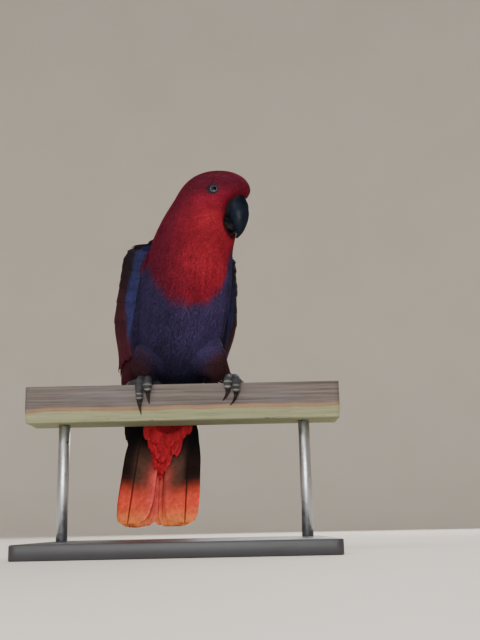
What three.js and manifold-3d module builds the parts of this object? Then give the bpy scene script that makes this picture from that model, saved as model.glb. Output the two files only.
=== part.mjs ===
// Eclectus parrot, female, life size, on a cut length of rail held by a plain display stand.
// Millimetres, +Z up. Origin: the middle of the stand's underside. The viewer stands at -Y.

import * as THREE from 'three';
import { mergeVertices } from 'three/addons/utils/BufferGeometryUtils.js';
import Module from 'manifold-3d';

const wasm = await Module();
wasm.setup();

// Stand and rail
const BASE = { width: 250, depth: 200, height: 12 };
const ROD = { radius: 5, spacing: 210, sides: 20 };
// The rail's front is upright for so much of its height, and its lower edge slopes back below that.
const RAIL = { length: 270, depth: 46, height: 31, top: 142.6, upright: 21.5, slope: 5 };
const JOIN_GAP = 0.3;

// The bird's own frame: side is towards its left wing, back is towards its back, up is +Z.
// The body is turned about the vertical and leans forward over the rail.
const BODY_YAW = rad(22);
const BODY_LEAN = rad(25);
const BODY_PLACE = new THREE.Vector3(-1.5, -3, RAIL.top);
const SHOULDER = { back: -27, up: 115 };
const HEAD_YAW = rad(43);
const HEAD_CENTRE = { side: 18.5, back: -45, up: 164 };

// Lengths along the body from the shoulder, down towards the tail
const TAIL_CUT = 150;
const NECK_CUT = -2;
const WING_TIP = 181;
const TAIL_TIP = 262;
const CUT_WIDTH = 0.3;

const SIDES = [['right', -1], ['left', 1]];
const RING_SIDES = 28;
const BODY_RINGS = 40;
const BLEND = 6;

function rad(degrees) {
  return degrees * Math.PI / 180;
}

function mix(a, b, share) {
  return a + (b - a) * share;
}

function smooth(share) {
  const t = Math.min(1, Math.max(0, share));
  return t * t * (3 - 2 * t);
}

// A value read off a short list of [place, value] pairs, eased between them.
function graph(pairs, place) {
  if (place <= pairs[0][0]) return pairs[0][1];
  for (let i = 1; i < pairs.length; i += 1) {
    const [from, low] = pairs[i - 1];
    const [to, high] = pairs[i];
    if (place <= to) return mix(low, high, smooth((place - from) / (to - from)));
  }
  return pairs[pairs.length - 1][1];
}

// Frames

// A point given by side, back and up from the place between the feet on the rail's top.
function atBird(side, back, up) {
  const c = Math.cos(BODY_YAW);
  const s = Math.sin(BODY_YAW);
  return new THREE.Vector3(side * c - back * s, side * s + back * c, up).add(BODY_PLACE);
}

// A point given by side, dorsal height and distance down the leaning body from the shoulder.
function atBody(side, dorsal, down) {
  const c = Math.cos(BODY_LEAN);
  const s = Math.sin(BODY_LEAN);
  return atBird(side, SHOULDER.back + down * s + dorsal * c, SHOULDER.up - down * c + dorsal * s);
}

// A point given in the turned head: forward along the face, side to its left, and up.
function atHead(forward, side, up) {
  const c = Math.cos(HEAD_YAW);
  const s = Math.sin(HEAD_YAW);
  return atBird(
    HEAD_CENTRE.side + forward * s + side * c,
    HEAD_CENTRE.back - forward * c + side * s,
    HEAD_CENTRE.up + up,
  );
}

// Solids

function toSolid(geometry) {
  const bare = geometry.clone();
  bare.deleteAttribute('normal');
  bare.deleteAttribute('uv');
  const merged = mergeVertices(bare, 1e-4);
  return new wasm.Manifold(new wasm.Mesh({
    numProp: 3,
    vertProperties: new Float32Array(merged.attributes.position.array),
    triVerts: new Uint32Array(merged.index.array),
  }));
}

function fromSolid(solid) {
  const { vertProperties, triVerts } = solid.getMesh();
  const geometry = new THREE.BufferGeometry();
  geometry.setAttribute('position', new THREE.BufferAttribute(vertProperties, 3));
  geometry.setIndex(new THREE.BufferAttribute(triVerts, 1));
  return geometry;
}

function largest(solid) {
  const parts = solid.decompose();
  return parts.reduce((best, part) => (part.volume() > best.volume() ? part : best));
}

function join(solids) {
  return largest(solids.reduce((whole, piece) => whole.add(piece)));
}

function clearOf(solid, rooms) {
  return rooms.reduce((left, room) => left.subtract(room), solid);
}

function meshFrom(points, triangles) {
  const geometry = new THREE.BufferGeometry();
  const numbers = points.flatMap((point) => [point.x, point.y, point.z]);
  geometry.setAttribute('position', new THREE.Float32BufferAttribute(numbers, 3));
  geometry.setIndex(triangles);
  return geometry;
}

// Rings of equal count, skinned one to the next and closed by a fan at both ends.
function loft(rings) {
  const count = rings[0].length;
  const points = rings.flat();
  const triangles = [];
  for (let r = 0; r + 1 < rings.length; r += 1) {
    for (let k = 0; k < count; k += 1) {
      const a = r * count + k;
      const b = r * count + (k + 1) % count;
      triangles.push(a, b, b + count, a, b + count, a + count);
    }
  }
  const last = (rings.length - 1) * count;
  const middle = (ring) => ring.reduce((sum, p) => sum.add(p), new THREE.Vector3()).divideScalar(count);
  points.push(middle(rings[0]), middle(rings[rings.length - 1]));
  for (let k = 0; k < count; k += 1) {
    const next = (k + 1) % count;
    triangles.push(points.length - 2, next, k, points.length - 1, last + k, last + next);
  }
  return outward(points, triangles);
}

// A thin closed sheet between two like grids of points, split alike on both faces.
function sheet(top, under) {
  const rows = top.length;
  const columns = top[0].length;
  const points = [...top.flat(), ...under.flat()];
  const lower = rows * columns;
  const triangles = [];
  const wall = (a, b) => triangles.push(a, b, b + lower, a, b + lower, a + lower);
  for (let r = 0; r + 1 < rows; r += 1) {
    for (let c = 0; c + 1 < columns; c += 1) {
      const a = r * columns + c;
      const b = a + columns;
      triangles.push(a, b, b + 1, a, b + 1, a + 1);
      triangles.push(a + lower, b + 1 + lower, b + lower, a + lower, a + 1 + lower, b + 1 + lower);
    }
    wall((r + 1) * columns, r * columns);
    wall(r * columns + columns - 1, (r + 1) * columns + columns - 1);
  }
  for (let c = 0; c + 1 < columns; c += 1) {
    wall(c, c + 1);
    wall((rows - 1) * columns + c + 1, (rows - 1) * columns + c);
  }
  return outward(points, triangles);
}

// Mirrored pieces come out inside out, so the sign of the volume decides the winding.
function outward(points, triangles) {
  let volume = 0;
  for (let i = 0; i < triangles.length; i += 3) {
    const [a, b, c] = [points[triangles[i]], points[triangles[i + 1]], points[triangles[i + 2]]];
    volume += a.dot(b.clone().cross(c));
  }
  const order = volume > 0 ? triangles : triangles.slice().reverse();
  return toSolid(meshFrom(points, order));
}

// A round bar along a line of points, with a radius at each point. The direction across it
// is carried from point to point, so that the bar doesn't twist.
function bar(line, radii, sides) {
  let across = new THREE.Vector3(0, 0, 1).cross(line[1].clone().sub(line[0]));
  if (across.length() < 0.1) across = new THREE.Vector3(1, 0, 0);
  const rings = line.map((point, i) => {
    const ahead = line[Math.min(i + 1, line.length - 1)];
    const behind = line[Math.max(i - 1, 0)];
    const along = ahead.clone().sub(behind).normalize();
    across = across.clone().addScaledVector(along, -across.dot(along)).normalize();
    const other = along.clone().cross(across);
    const sideways = across;
    return circle(sides, (x, y) => point.clone()
      .addScaledVector(sideways, x * radii[i])
      .addScaledVector(other, y * radii[i]));
  });
  return loft(rings);
}

function circle(sides, place) {
  return Array.from({ length: sides }, (_, k) => {
    const turn = 2 * Math.PI * k / sides;
    return place(Math.cos(turn), Math.sin(turn));
  });
}

function ball(centre, radius, wide, high) {
  return toSolid(new THREE.SphereGeometry(radius, wide, high)).translate(centre.toArray());
}

function block(width, depth, height, centre) {
  return toSolid(new THREE.BoxGeometry(width, depth, height)).translate(centre.toArray());
}

// The soft body: rounded masses that run into one another

// Each mass has a centre, three half sizes and the three directions they lie along.
function mass(at, centre, sizes) {
  const origin = at(...centre);
  const axes = [[1, 0, 0], [0, 1, 0], [0, 0, 1]].map(([x, y, z]) => (
    at(centre[0] + x, centre[1] + y, centre[2] + z).sub(origin)
  ));
  return { origin, axes, sizes };
}

const MASSES = [
  mass(atBody, [0, -2, 34], [39.5, 35, 56]),
  mass(atBody, [0, -1, 76], [37, 31, 50]),
  mass(atBody, [0, 5, 122], [22, 17, 40]),
  mass(atBody, [0, 7.5, 152], [18, 7, 24]),
  mass(atBody, [0, 2, 2], [32, 29, 30]),
  mass(atBird, [3, -31, 132], [29, 28, 30]),
  mass(atBird, [9, -38, 148], [22, 23, 24]),
  mass(atHead, [0.5, 0, 0.5], [32, 17.5, 22.5]),
  mass(atHead, [-10.5, 0, -1], [17.5, 16, 17.5]),
  mass(atHead, [-1, 0, -22], [15, 16, 17]),
];

// The hollow in the front of the face that the bill grows out of.
const BILL_HOLLOW = mass(atHead, [30, 0, -22], [18.4, 32, 19.4]);
const HOLLOW_EDGE = 2.5;

// Signed distance to one mass, near enough close to its surface.
function massDistance(one, point) {
  const offset = point.clone().sub(one.origin);
  const shares = one.axes.map((axis, i) => offset.dot(axis) / one.sizes[i]);
  const reach = Math.hypot(...shares);
  const slope = Math.hypot(...shares.map((share, i) => share / one.sizes[i]));
  return slope < 1e-9 ? -Math.min(...one.sizes) : reach * (reach - 1) / slope;
}

function bodyDistance(point) {
  const sum = MASSES.reduce((total, one) => total + Math.exp(-massDistance(one, point) / BLEND), 0);
  const whole = -BLEND * Math.log(sum);
  const cut = -massDistance(BILL_HOLLOW, point);
  return HOLLOW_EDGE * Math.log(Math.exp(whole / HOLLOW_EDGE) + Math.exp(cut / HOLLOW_EDGE));
}

// The line inside the body that its rings are drawn round, from the tail's root to the crown.
const SPINE = new THREE.CatmullRomCurve3([
  atBody(0, 9, 177),
  atBody(0, 8, 150),
  atBody(0, 4, 120),
  atBody(0, 0, 80),
  atBody(0, 0, 40),
  atBody(0, 0, 5),
  atBird(3, -30, 130),
  atBird(8, -36, 147),
  atBird(13, -41, 163),
  atBird(17, -44.5, 178),
  atBird(18, -45.5, 187),
], false, 'centripetal');

// Radius from the spine to the soft surface, grown outward by a chosen amount.
function reachFrom(centre, direction, grow) {
  let near = 0;
  let far = 80;
  const steps = 24;
  for (let i = 1; i <= far; i += 1) {
    if (bodyDistance(centre.clone().addScaledVector(direction, i)) > grow) {
      far = i;
      near = i - 1;
      break;
    }
  }
  for (let i = 0; i < steps; i += 1) {
    const middle = (near + far) / 2;
    if (bodyDistance(centre.clone().addScaledVector(direction, middle)) > grow) far = middle;
    else near = middle;
  }
  return near;
}

function softBody(rings, sides, grow) {
  const side = atBird(1, 0, 0).sub(atBird(0, 0, 0));
  const lean = atBody(0, 1, 0).sub(atBody(0, 0, 0));
  const level = atBird(0, 1, 0).sub(atBird(0, 0, 0));
  const shares = Array.from({ length: rings }, (_, i) => {
    const share = i / (rings - 1);
    return mix(share, Math.sin(share * Math.PI / 2), 0.5);
  });
  return loft(shares.map((share) => {
    const centre = SPINE.getPointAt(share);
    const upright = smooth((centre.z - RAIL.top - 95) / 50);
    const dorsal = lean.clone().lerp(level, upright).normalize();
    return circle(sides, (x, y) => {
      const out = side.clone().multiplyScalar(x).addScaledVector(dorsal, y).normalize();
      return centre.clone().addScaledVector(out, reachFrom(centre, out, grow));
    });
  }));
}

// Thin slabs that part the body at its neck, throat and tail
function parting(centre, normal) {
  const slab = new THREE.BoxGeometry(160, 160, CUT_WIDTH);
  const turn = new THREE.Quaternion().setFromUnitVectors(new THREE.Vector3(0, 0, 1), normal.normalize());
  slab.applyQuaternion(turn);
  slab.translate(centre.x, centre.y, centre.z);
  return toSolid(slab);
}

// Bill: sections run from inside the face to the hooked tip. Each names the ridge and the
// cutting edge in the head's middle plane, and the half width between them.
const UPPER_BILL = [
  { ridge: [20, 3], edge: [6, -17], half: 7.6 },
  { ridge: [26.5, -3.5], edge: [11.5, -24], half: 8.6 },
  { ridge: [30, -10], edge: [14.5, -28], half: 8.4 },
  { ridge: [31, -17.5], edge: [16.2, -30.8], half: 7.4 },
  { ridge: [30.4, -24.5], edge: [17.4, -33.2], half: 6 },
  { ridge: [28, -31], edge: [18.8, -35], half: 4 },
  { ridge: [24.6, -36.8], edge: [18.6, -38.2], half: 2.3 },
  { ridge: [19.6, -41.2], edge: [17.8, -40.6], half: 0.7 },
];
const LOWER_BILL = [
  { ridge: [3, -16], edge: [1, -30.5], half: 9.2 },
  { ridge: [10.6, -18], edge: [7.8, -32.4], half: 10.2 },
  { ridge: [15, -22.5], edge: [12.2, -35], half: 9.3 },
  { ridge: [17.8, -27.5], edge: [16.2, -35.8], half: 6.4 },
  { ridge: [19, -31], edge: [18, -35], half: 3.2 },
];
const BILL_SIDES = 14;

function billSolid(sections, grow) {
  return loft(sections.map((section) => (
    circle(BILL_SIDES, (x, y) => billPoint(section, Math.atan2(y, x), grow))
  )));
}

function billPoint({ ridge, edge, half }, turn, grow) {
  const middle = [(ridge[0] + edge[0]) / 2, (ridge[1] + edge[1]) / 2];
  const high = Math.hypot(ridge[0] - edge[0], ridge[1] - edge[1]) / 2;
  const rise = Math.sin(turn) * (high + grow) / high;
  const narrowing = 1 - 0.18 * Math.max(0, Math.sin(turn));
  return atHead(
    middle[0] + (ridge[0] - middle[0]) * rise,
    Math.cos(turn) * (half + grow) * narrowing,
    middle[1] + (ridge[1] - middle[1]) * rise,
  );
}

// Face
const EYE = { forward: 7.6, up: -0.5, proud: 1.5, radius: 5.2, wide: 12, high: 8 };
const LID = { radius: 4.2, thick: 0.85 };
const CERE = { proud: 0.8, reach: 0.05 };
const NOSTRIL = { turn: rad(58), radius: 1.1 };

// A low collar of bare skin round the bill's root
function cere() {
  const [root, face, next] = UPPER_BILL;
  const blend = (from, to) => from.map((value, i) => mix(value, to[i], CERE.reach));
  const rim = {
    ridge: blend(face.ridge, next.ridge),
    edge: blend(face.edge, next.edge),
    half: mix(face.half, next.half, CERE.reach),
  };
  return billSolid([root, face, rim], CERE.proud);
}

function nostril(side) {
  const turn = side > 0 ? NOSTRIL.turn : Math.PI - NOSTRIL.turn;
  return ball(billPoint(UPPER_BILL[1], turn, CERE.proud), NOSTRIL.radius, 8, 6);
}

// How far the face reaches to one side at the eye.
function faceAtEye() {
  const middle = atHead(EYE.forward, 0, EYE.up);
  const outward = atHead(EYE.forward, 1, EYE.up).sub(middle);
  return reachFrom(middle, outward, 0);
}

function eyeball(side, grow) {
  const centre = atHead(EYE.forward, side * (faceAtEye() + EYE.proud - EYE.radius), EYE.up);
  return ball(centre, EYE.radius + grow, EYE.wide, EYE.high);
}

// The ring of bare skin round an eye stands proud of the face.
function lid(side) {
  const outward = atHead(0, side, 0).sub(atHead(0, 0, 0)).normalize();
  const ring = new THREE.TorusGeometry(LID.radius, LID.thick, 5, 14);
  ring.applyQuaternion(new THREE.Quaternion().setFromUnitVectors(new THREE.Vector3(0, 0, 1), outward));
  const place = atHead(EYE.forward, side * faceAtEye(), EYE.up);
  return toSolid(ring).translate(place.toArray());
}

// Wings: each is a curved plate over the side and back, given by the turn round the body
// from its side, and the distance down the body.
const WING = {
  half: { left: 58, right: 56.5 },
  spread: {
    left: [[-4, 0.58], [0, 0.77], [5, 0.87], [14, 0.91], [34, 0.98], [65, 1.045], [112, 0.925], [178, 0.5]],
    right: [[-4, 0.62], [0, 0.84], [5, 0.95], [14, 1], [65, 1.03], [112, 0.87], [178, 0.68]],
  },
  front: -47,
  back: 80,
  padEnd: 100,
  padLift: -4.2,
  rowLift: -0.4,
};

function wingPoint(side, turn, down, lift) {
  const name = side > 0 ? 'left' : 'right';
  const wide = WING.half[name] * graph(WING.spread[name], down);
  const deep = graph([[-4, 11], [0, 16], [8, 20], [30, 23], [90, 21], [130, 15], [178, 8]], down);
  const middle = graph([[-4, 17], [20, 19], [130, 18], [178, 20]], down);
  const angle = rad(turn);
  return atBody(
    side * (wide + lift) * Math.cos(angle),
    middle + (deep + lift) * Math.sin(angle),
    down,
  );
}

// The wing's flesh and small feathers: a rounded pad over the body that the vanes grow from.
function wingPad(side) {
  const downs = [-4, -1, 4, 12, 34, 64, WING.padEnd];
  const turns = 8;
  const grid = (depth) => downs.map((down) => {
    const front = graph([[-4, -30], [10, WING.front], [WING.padEnd, -40]], down);
    const back = graph([[-4, 60], [10, WING.back]], down);
    return Array.from({ length: turns }, (_, i) => {
      const outer = wingPoint(side, mix(front, back, i / (turns - 1)), down, WING.padLift);
      return outer.lerp(atBody(0, 0, down), depth);
    });
  });
  return sheet(grid(0), grid(0.6));
}

// Rows of wing feathers from the shoulder to the tip: median and greater coverts, secondaries
// and primaries. Turns run from the front edge to the back. Lifts rise from the buried root
// to the tip, so that each row lies over the next.
const COVERT = {
  half: 9.8,
  edgeLift: 1,
  lifts: [[0, -6], [0.24, -1.6], [1, -0.1]],
  rows: [0, 0.24, 0.78, 1],
};
const WING_ROWS = [
  {
    ...COVERT, count: 8, rootTurns: [-36, 71], tipTurns: [-36, 71],
    roots: [9, 9], tips: [[0, 30], [1, 36]],
  },
  {
    ...COVERT, count: 8, rootTurns: [-37, 71], tipTurns: [-37, 70],
    roots: [28, 30], tips: [[0, 58], [1, 68]],
  },
  {
    count: 8,
    half: 9.8,
    edgeLift: 1,
    lifts: [[0, -6], [0.18, -2], [0.5, -1.4], [1, -0.9]],
    rows: [0, 0.18, 0.5, 0.88, 1],
    rootTurns: [-37, 71],
    tipTurns: [-34, 64],
    roots: [53, 57],
    tips: [[0, 98], [0.25, 110], [0.7, 126], [1, 132]],
  },
  {
    count: 6,
    half: 8.6,
    edgeLift: 1.1,
    lifts: [[0, -9.4], [0.14, -8], [0.3, -4.8], [1, -3.6]],
    rows: [0, 0.14, 0.3, 0.9, 1],
    rootTurns: [-34, 22],
    tipTurns: [-44, 30],
    roots: [84, 84],
    tips: [[0, WING_TIP], [0.3, WING_TIP], [1, 138]],
  },
];

// How wide a vane is along its length, as a share of its widest
const VANE_OUTLINE = [[0, 0.5], [0.24, 0.86], [0.55, 1], [0.8, 0.96], [0.9, 0.78], [0.96, 0.58], [1, 0.34]];
const VANE = { thick: 0.75, edge: 0.5, tip: 0.4, crown: 0.3 };

// A feather's vane over a surface. place(across, along, lift) gives points in millimetres
// across and along. One edge is lifted over the neighbour's and the other tucked under.
function vane(place, { root, tip, half, lifts, edgeLift, rows, outline = VANE_OUTLINE }) {
  const grid = (under) => rows.map((share) => {
    const middle = mix(root.across, tip.across, share);
    const along = mix(root.along, tip.along, share);
    const lift = graph(lifts, share);
    return [-1, 0, 1].map((column) => {
      const wide = column * half * graph(outline, share);
      const thick = share === 1 ? VANE.tip : mix(VANE.thick, VANE.edge, Math.abs(column));
      const raised = lift + column * edgeLift + (column === 0 ? VANE.crown : 0);
      return place(middle + wide, along, raised - (under ? thick : 0));
    });
  });
  return sheet(grid(false), grid(true));
}

const seeded = (() => {
  let state = 20;
  return () => {
    state = (state * 1103515245 + 12345) % 2147483648;
    return state / 2147483648;
  };
})();

function vary(value, amount) {
  return value + (seeded() * 2 - 1) * amount;
}

function wingRow(side, row) {
  // Millimetres of arc for one degree of turn at the middle of the wing
  const arc = 0.82;
  const place = (across, along, lift) => wingPoint(side, across / arc, along, lift + WING.rowLift);
  return Array.from({ length: row.count }, (_, i) => {
    const share = i / (row.count - 1);
    return vane(place, {
      root: { across: mix(...row.rootTurns, share) * arc, along: mix(...row.roots, share) },
      tip: {
        across: vary(mix(...row.tipTurns, share), 0.8) * arc,
        along: vary(graph(row.tips, share), 1.2),
      },
      half: row.half,
      lifts: row.lifts,
      edgeLift: row.edgeLift,
      rows: row.rows,
    });
  });
}

function wing(side) {
  return join([wingPad(side), ...WING_ROWS.flatMap((row) => wingRow(side, row))]);
}

// Tail: six feathers a side, the middle pair on top and the outermost lowest
const TAIL = {
  perSide: 6,
  top: 12.4,
  layer: 1.15,
  arch: 2,
  sideways: 1.4,
  root: 154,
  rootAcross: { left: [1.5, 14], right: [1.5, 19] },
  fanning: 0.4,
  outline: [[0, 0.74], [0.12, 0.84], [0.5, 1], [0.8, 0.96], [0.9, 0.78], [0.96, 0.58], [1, 0.34]],
  rows: [0, 0.12, 0.5, 0.86, 0.955, 1],
  half: 11.6,
  feathers: [
    { across: 7, end: 261.5 },
    { across: 13, end: 262 },
    { across: 18, end: 262 },
    { across: 22.5, end: 261 },
    { across: 26.5, end: 259 },
    { across: 30.2, end: 256 },
  ],
};

function tailPlace(across, along, lift) {
  const share = (along - TAIL_CUT) / (TAIL_TIP - TAIL_CUT);
  const drop = TAIL.arch * (across / 30) ** 2 + 2 * share;
  return atBody(across + TAIL.sideways * share, TAIL.top + lift - drop, along);
}

function tailFeathers() {
  return SIDES.flatMap(([name, side]) => TAIL.feathers.map((feather, i) => {
    const layer = i + (side > 0 ? 0 : 0.5);
    const rootAcross = mix(...TAIL.rootAcross[name], i / (TAIL.perSide - 1));
    const fan = (share) => mix(rootAcross, feather.across, share ** TAIL.fanning);
    const place = (across, along, lift) => {
      const share = (along - TAIL.root) / (feather.end - TAIL.root);
      return tailPlace(across + side * fan(Math.max(0, share)), along, lift);
    };
    return vane(place, {
      root: { across: 0, along: TAIL.root },
      tip: { across: 0, along: vary(feather.end, 0.5) },
      half: TAIL.half,
      lifts: [[0, -TAIL.layer * layer]],
      edgeLift: 0,
      rows: TAIL.rows,
      outline: TAIL.outline,
    });
  }));
}

// Short feathers over the tail's root: three rows below it and two above
const TAIL_COVERTS = [
  { count: 3, spread: 8, tipSpread: 5, tip: 204, half: 7, lift: -9 },
  { count: 3, spread: 12, tipSpread: 12, tip: 190, half: 8, lift: -10.4 },
  { count: 4, spread: 15, tipSpread: 17, tip: 176, half: 8.4, lift: -11.8 },
  { count: 3, spread: 9, tipSpread: 12, tip: 196, half: 8.6, lift: 1.8 },
  { count: 3, spread: 12, tipSpread: 15, tip: 178, half: 10, lift: 3.2 },
];

function tailCoverts() {
  return TAIL_COVERTS.flatMap((row) => Array.from({ length: row.count }, (_, i) => {
    const share = 2 * i / (row.count - 1) - 1;
    const inward = Math.sign(row.lift) * -4;
    return vane(tailPlace, {
      root: { across: row.spread * share, along: 152 },
      tip: { across: row.tipSpread * share, along: vary(row.tip, 1.5) - 5 * Math.abs(share) },
      half: row.half,
      lifts: [[0, row.lift + inward], [0.3, row.lift], [1, row.lift]],
      edgeLift: 0.85,
      rows: [0, 0.3, 0.8, 1],
    });
  }));
}

// Legs and feet
const FEET = {
  right: {
    x: -33.5, knee: -33, clawLean: 1.5, outerDrop: 14, innerDrop: 6.5,
    backOuter: [17, 14], backInner: [15, 12],
  },
  left: {
    x: 43.5, knee: 27, clawLean: -6.5, outerDrop: 8.5, innerDrop: 5.5,
    backOuter: [8, 19], backInner: [9, 17],
  },
};
const PALM = { y: -8, up: 4.8, radius: 5.6 };
const THIGH_RADII = [16.5, 15, 11.8, 8.4];
const TARSUS_RADIUS = 4.2;
const TOE_SIDES = 7;
const TOE_RADII = [4.3, 3.9, 3.7, 3.6, 3.4, 2.8];
const RAIL_FRONT = -RAIL.depth / 2;

function onRail(x, y, up) {
  return new THREE.Vector3(x, y, RAIL.top + up);
}

function thigh(foot, side, grow) {
  const hip = atBody(side * 21, -6, 84);
  const knee = onRail(foot.knee, -7, 20);
  const cuff = onRail(mix(foot.x, foot.knee, 0.45), -4, 10.5);
  const radii = THIGH_RADII.map((radius) => radius + grow);
  return bar([hip, hip.clone().lerp(knee, 0.5), knee, cuff], radii, 14);
}

// The tarsus lies low, back from the palm, and rises into the thigh's feathers.
function tarsusLine(foot) {
  return [
    onRail(foot.x, PALM.y, PALM.up),
    onRail(foot.x, -3.6, 5.7),
    onRail(foot.x, 3, 7),
    onRail(mix(foot.x, foot.knee, 0.4), 7, 12),
  ];
}

// A front toe runs over the rail's top and bends down its front face.
function frontToe(foot, sideways, drop) {
  const clear = TOE_RADII[3] + JOIN_GAP;
  const front = RAIL_FRONT - clear;
  const end = foot.x + sideways;
  const line = [
    onRail(foot.x, PALM.y, PALM.up),
    onRail(mix(foot.x, end, 0.6), mix(PALM.y, RAIL_FRONT, 0.5), clear + 0.7),
    onRail(mix(foot.x, end, 0.9), RAIL_FRONT + 2.5, clear + 0.3),
    onRail(end, front + 1.2, 1.6),
    onRail(end, front, mix(1.6, -drop, 0.6)),
    onRail(end, front + 0.7, -drop),
  ];
  return { line, radii: TOE_RADII };
}

// A back toe splays out over the rail's top.
function backToe(foot, sideways, reach) {
  const clear = TOE_RADII[3] + JOIN_GAP;
  const line = [0, 0.35, 0.75, 1].map((share) => onRail(
    foot.x + sideways * share ** 0.6,
    PALM.y + reach * share,
    clear + mix(0.9, -0.6, share),
  ));
  return { line, radii: [4.3, 3.8, 3.4, 2.8] };
}

function toesOf(foot, side) {
  return [
    frontToe(foot, side * 3, foot.outerDrop),
    frontToe(foot, -side * 4.2, foot.innerDrop),
    backToe(foot, side * foot.backOuter[0], foot.backOuter[1]),
    backToe(foot, -side * foot.backInner[0], foot.backInner[1]),
  ];
}

const CLAW = { length: 12, points: 5, sides: 6, droop: 2, tip: 0.25 };

// Claw i of a foot: the first two are in front and curve in to the rail, the others lie on it.
function claw(foot, toe, i, grow) {
  const end = toe.line[toe.line.length - 1];
  const along = end.clone().sub(toe.line[toe.line.length - 2]).normalize();
  const curl = i < 2
    ? new THREE.Vector3(foot.clawLean, CLAW.droop, 0)
    : new THREE.Vector3(0, 0, -CLAW.droop);
  const root = toe.radii[toe.radii.length - 1] - 0.5;
  const shares = Array.from({ length: CLAW.points }, (_, k) => k / (CLAW.points - 1));
  const line = shares.map((share) => end.clone()
    .addScaledVector(along, JOIN_GAP + CLAW.length * share)
    .addScaledVector(curl, share * share));
  return bar(line, shares.map((share) => mix(root, CLAW.tip, share ** 0.8) + grow), CLAW.sides);
}

// The metal ring on the right leg, just behind the palm
const LEG_RING = { inner: TARSUS_RADIUS + JOIN_GAP + 0.1, wall: 1.5, width: 4.4, sides: 20 };

function legRing(grow) {
  const [, from, to] = tarsusLine(FEET.right);
  const { inner, wall, width, sides } = LEG_RING;
  const half = width / 2 + grow;
  const profile = [
    [inner - grow, -half], [inner + wall + grow, -half], [inner + wall + grow, half], [inner - grow, half],
  ].map(([x, y]) => new THREE.Vector2(x, y));
  profile.push(profile[0].clone());
  const ring = new THREE.LatheGeometry(profile, sides);
  const along = to.clone().sub(from).normalize();
  ring.applyQuaternion(new THREE.Quaternion().setFromUnitVectors(new THREE.Vector3(0, 1, 0), along));
  const centre = from.clone().lerp(to, 0.5);
  return toSolid(ring).translate(centre.toArray());
}

// Finishes
const finish = (color, roughness, metalness = 0) => (
  new THREE.MeshStandardMaterial({ color, roughness, metalness })
);
const RED = finish(0xa01322, 0.8);
const VIOLET = finish(0x2b2645, 0.8);
const MAROON = finish(0x35141b, 0.75);
const TAIL_ORANGE = finish(0xb5452c, 0.75);
const SKIN_GREY = finish(0x6a6b70, 0.6);
const HORN = finish(0x14161b, 0.35);
const EYE_DARK = finish(0x0b0a0c, 0.1);
const WOOD = finish(0x7d7064, 0.85);
const STAND_PLASTIC = finish(0x303236, 0.5);
const STEEL = finish(0xb8bcc2, 0.3, 0.9);

const bird = new THREE.Group();

function add(name, solid, material) {
  const mesh = new THREE.Mesh(fromSolid(largest(solid)), material);
  mesh.name = name;
  bird.add(mesh);
}

const CLEAR = JOIN_GAP + 0.1;
const fleshGrown = softBody(BODY_RINGS, RING_SIDES, CLEAR);
const railMiddle = RAIL.top - RAIL.height / 2;

// The whole soft body is parted below the head, at the shoulders and at the tail's root.
function partedBody() {
  const along = atBody(0, 0, 1).sub(atBody(0, 0, 0));
  const face = atHead(1, 0, 0).sub(atHead(0, 0, 0));
  const throat = new THREE.Vector3(0, 0, 1).addScaledVector(face, 0.45);
  const cuts = [
    parting(atBody(0, 0, TAIL_CUT), along.clone()),
    parting(atBody(0, 0, NECK_CUT), along.clone()),
    parting(atHead(-8, 0, -32), throat),
  ];
  return cuts.reduce((whole, cut) => whole.subtract(cut), softBody(BODY_RINGS, RING_SIDES, 0))
    .decompose()
    .sort((a, b) => a.boundingBox().max[2] - b.boundingBox().max[2]);
}

function addHead(skull) {
  const sockets = [billSolid(UPPER_BILL, CLEAR), billSolid(LOWER_BILL, CLEAR)];
  const hollows = SIDES.flatMap(([, side]) => [
    nostril(side),
    eyeball(side, CLEAR),
  ]);
  const whole = join([skull, cere(), lid(-1), lid(1)]);
  add('head', clearOf(whole, [...sockets, ...hollows]), RED);
  add('bill_upper', billSolid(UPPER_BILL, 0), HORN);
  add('bill_lower', billSolid(LOWER_BILL, 0).subtract(sockets[0]), HORN);
  SIDES.forEach(([name, side]) => add(`eye_${name}`, eyeball(side, 0), EYE_DARK));
}

function footSolid(foot, side, grow) {
  const radii = [PALM.radius, TARSUS_RADIUS, TARSUS_RADIUS, TARSUS_RADIUS].map((radius) => radius + grow);
  const toes = toesOf(foot, side).map((toe) => (
    bar(toe.line, toe.radii.map((radius) => radius + grow), TOE_SIDES)
  ));
  return join([bar(tarsusLine(foot), radii, 10), ...toes]);
}

// The room that a foot and its ring take out of the feathers above them
function footRoom(name, side) {
  const foot = FEET[name];
  const claws = toesOf(foot, side).map((toe, i) => claw(foot, toe, i, CLEAR));
  const room = claws.reduce((whole, piece) => whole.add(piece), footSolid(foot, side, CLEAR));
  return name === 'right' ? room.add(legRing(CLEAR)) : room;
}

function addLeg(name, side) {
  const foot = FEET[name];
  const toes = toesOf(foot, side);
  const toesGrown = footSolid(foot, side, JOIN_GAP);
  const feathers = clearOf(thigh(foot, side, 0), [fleshGrown, footRoom(name, side), railRoom]);
  add(`thigh_${name}`, feathers, MAROON);
  add(`foot_${name}`, clearOf(footSolid(foot, side, 0), [legRing(JOIN_GAP), railRoom]), SKIN_GREY);
  toes.forEach((toe, i) => {
    add(`claw_${name}_${i + 1}`, clearOf(claw(foot, toe, i, 0), [railRoom, toesGrown]), HORN);
  });
}

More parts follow.
